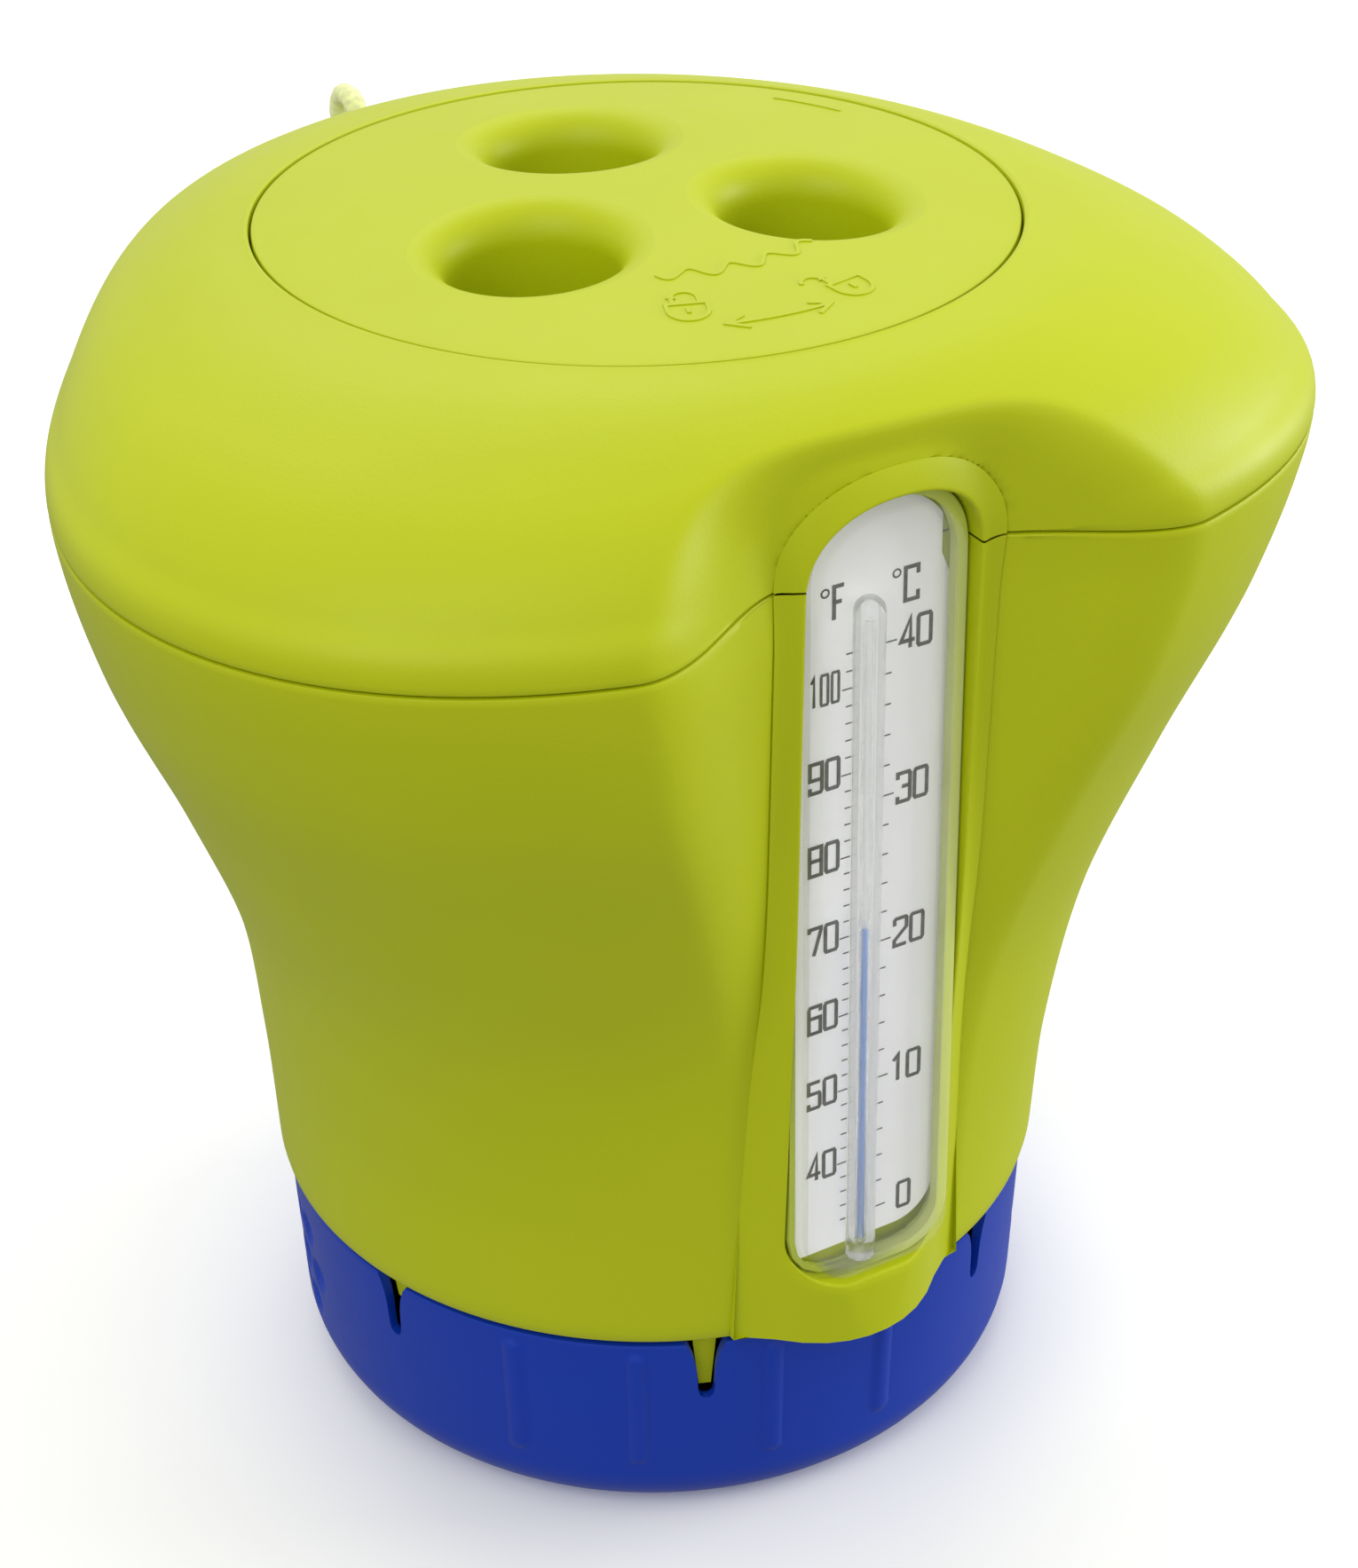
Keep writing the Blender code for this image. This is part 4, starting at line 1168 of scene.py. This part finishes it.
def coil_point(turns):
    """The cord's place after this many turns: in, up, out, up, in, then down to its end."""
    layer = 2 * CORD_R
    spread = COIL_OUTER - COIL_INNER
    if turns < 2.0:
        radius, z = COIL_OUTER - spread * turns / 2.0, 0.0
    elif turns < 2.5:
        radius, z = COIL_INNER, smooth_step(2.0, 2.5, turns)
    elif turns < 4.5:
        radius, z = COIL_INNER + spread * (turns - 2.5) / 2.0, 1.0
    elif turns < 5.0:
        radius, z = COIL_OUTER, 1.0 + smooth_step(4.5, 5.0, turns)
    elif turns < 7.0:
        radius, z = COIL_OUTER - spread * (turns - 5.0) / 2.0, 2.0
    else:
        drop = smooth_step(7.0, COIL_TURNS, turns)
        radius, z = COIL_INNER - 9.0 * drop, 2.0 - 1.4 * drop
    angle = math.pi / 2 - 2 * math.pi * turns
    x = COIL_CENTRE[0] + radius * math.cos(angle)
    return Vector((x, COIL_CENTRE[1] + radius * math.sin(angle), CORD_R + layer * z))


def cord_path():
    """The hanging part, a short straight join, and the coil."""
    last = len(CORD_ROUTE) - 1
    path = [curve_point(CORD_ROUTE, last * step / 60) for step in range(61)]
    joined = Vector((COIL_CENTRE[0], COIL_CENTRE[1] + COIL_OUTER, CORD_R))
    start = path[-1]
    path += [start + (joined - start) * step / 4 for step in range(1, 4)]
    path += [coil_point(COIL_TURNS * step / 240) for step in range(241)]
    return path


def resampled(path, spacing):
    """The same line with a point every spacing."""
    points = [path[0]]
    carried = 0.0
    for start, end in zip(path, path[1:]):
        length = (end - start).length
        while carried + length >= spacing:
            share = (spacing - carried) / length
            start = start + (end - start) * share
            points.append(start)
            length = (end - start).length
            carried = 0.0
        carried += length
    points.append(path[-1])
    return points


def braided_tube(name, path, radius, material, closed=False, sides=16, pitch=3.4):
    """A tube along the path whose surface is worked into the diamonds of a braid."""
    count = len(path)
    points = []
    across = Vector((0.31, 0.17, 0.94))
    travelled = 0.0
    for index, here in enumerate(path):
        before = path[index - 1] if closed or index else here
        after = path[(index + 1) % count] if closed or index < count - 1 else here
        along = (after - before).normalized()
        across = (across - along * across.dot(along)).normalized()
        other = along.cross(across)
        if index:
            travelled += (here - path[index - 1]).length
        for side in range(sides):
            turn = 2 * math.pi * side / sides
            phase = 2 * math.pi * travelled / pitch
            strand = math.cos(2 * turn + phase) * math.cos(2 * turn - phase)
            reach = radius * (0.94 + 0.06 * strand)
            points.append(here + (across * math.cos(turn) + other * math.sin(turn)) * reach)
    faces = grid_faces(count, sides, True, True) if closed else capped_faces(count, sides)
    return add_mesh(name, points, faces, material, smooth=60.0)


def knot_path(centre, size):
    """An overhand knot drawn tight."""
    path = []
    for step in range(90):
        t = 2 * math.pi * step / 90
        x = math.sin(t) + 2 * math.sin(2 * t)
        y = math.cos(t) - 2 * math.cos(2 * t)
        path.append(Vector(centre) + Vector((x, -math.sin(3 * t) * 1.3, y)) * size)
    return path


def make_tether(materials):
    rope = materials["rope"]
    circle = arc((EYE_Y + LOOP_R, EYE_Z), LOOP_R, 0.0, 354.0, 59)
    ring = [Vector((0.0, y, z)) for y, z in circle]
    loop = braided_tube("rope_loop", resampled(ring, 0.45), CORD_R * 0.98, rope, closed=True)
    show(loop, "float_body", "rope", "tether_loop")
    knot = braided_tube("rope_knot", knot_path(KNOT, 1.0), 1.2, rope, closed=True)
    show(knot, "float_body", "rope", "tether_knot")
    path = resampled(cord_path(), 0.5)
    cord = braided_tube("rope_cord", path, CORD_R, rope)
    show(cord, "float_body", "rope", "tether_cord", "tether_coil")
    end_knot = knot_path(path[-1] + Vector((0, 0, 0.3)), 1.1)
    stopper = braided_tube("rope_end_knot", end_knot, 1.35, rope, closed=True)
    show(stopper, "float_body", "rope", "tether_end_knot")


def make_stage():
    """A wide white floor that casts no light back on the dispenser."""
    corners = [(4000.0 * x, 4000.0 * y, 0.0) for x, y in ((-1, -1), (1, -1), (1, 1), (-1, 1))]
    white = moulded_plastic("stage_white", (0.92, 0.92, 0.92), 0.8, grain=0.0, spread=0.004)
    floor = add_mesh("stage_floor", corners, [(0, 1, 2, 3)], white)
    floor.visible_diffuse = False
    floor.visible_glossy = False


def add_area_light(name, at, towards, size, power):
    data = bpy.data.lights.new(name, "AREA")
    data.shape = "RECTANGLE"
    data.size, data.size_y = size
    data.energy = power
    light = bpy.data.objects.new(name, data)
    light.location = Vector(at)
    light.rotation_euler = (Vector(towards) - Vector(at)).to_track_quat("-Z", "Y").to_euler()
    bpy.context.scene.collection.objects.link(light)


def make_lights():
    """Three soft lights, and a world that is white overhead and dimmer below."""
    bpy.context.scene.view_settings.view_transform = "Standard"
    middle = (0.0, 0.0, 0.1)
    add_area_light("key", (-0.9, -0.6, 1.1), middle, (0.9, 0.9), 6.0)
    add_area_light("fill", (1.3, -0.4, 0.25), middle, (0.8, 0.8), 15.0)
    add_area_light("top", (0.3, 0.8, 1.3), middle, (1.3, 1.0), 8.0)
    world = bpy.data.worlds.new("studio")
    world.use_nodes = True
    tree = world.node_tree
    background = tree.nodes["Background"]
    set_inputs(background, {"Color": (1.0, 1.0, 1.0, 1.0)})
    direction = tree.nodes.new("ShaderNodeTexCoord").outputs["Generated"]
    split = tree.nodes.new("ShaderNodeSeparateXYZ")
    fall = tree.nodes.new("ShaderNodeMapRange")
    set_inputs(fall, {"From Min": -0.4, "From Max": 0.05, "To Min": 0.34, "To Max": 0.85})
    tree.links.new(direction, split.inputs["Vector"])
    tree.links.new(split.outputs["Z"], fall.inputs["Value"])
    tree.links.new(fall.outputs["Result"], background.inputs["Strength"])
    bpy.context.scene.world = world


def make_camera():
    data = bpy.data.cameras.new("camera")
    data.lens = LENS_MM
    data.sensor_width = 36.0
    camera = bpy.data.objects.new("camera", data)
    turn = Matrix.Rotation(math.radians(CAMERA_HEADING), 4, "Z")
    turn = turn @ Matrix.Rotation(math.radians(90.0 - CAMERA_PITCH), 4, "X")
    turn = turn @ Matrix.Rotation(math.radians(CAMERA_ROLL), 4, "Z")
    camera.matrix_world = Matrix.Translation(Vector(CAMERA_AT) * MM) @ turn
    bpy.context.scene.collection.objects.link(camera)
    bpy.context.scene.camera = camera


def dress_frame(nodes, materials):
    """The CAD nodes that stay in view get the materials of this scene."""
    finishes = {
        # the chamber and bayonet ring wear the lime with painted shade, darkened for their place
        # inside
        "tablet_chamber": "lime_inner",
        "cap_bayonet_ring": "lime_inner",
        "flow_collar": "lime",
        "base_retainer": "blue",
        "cap_seal": "rubber",
        "floor_seal": "rubber",
        "mouth_gasket": "rubber",
        "lens_gasket": "silicone",
    }
    for node, finish in finishes.items():
        mesh = nodes[node].data
        mesh.materials.clear()
        mesh.materials.append(materials[finish])


def main():
    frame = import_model()
    make_camera()
    materials = make_materials()
    make_tether(materials)
    dress_frame(frame["nodes"], materials)
    make_shells(materials)
    make_cap(materials)
    make_base(materials)
    make_card(materials)
    make_print(materials)
    make_tube(materials)
    make_lens(materials)
    make_stage()
    make_lights()


main()
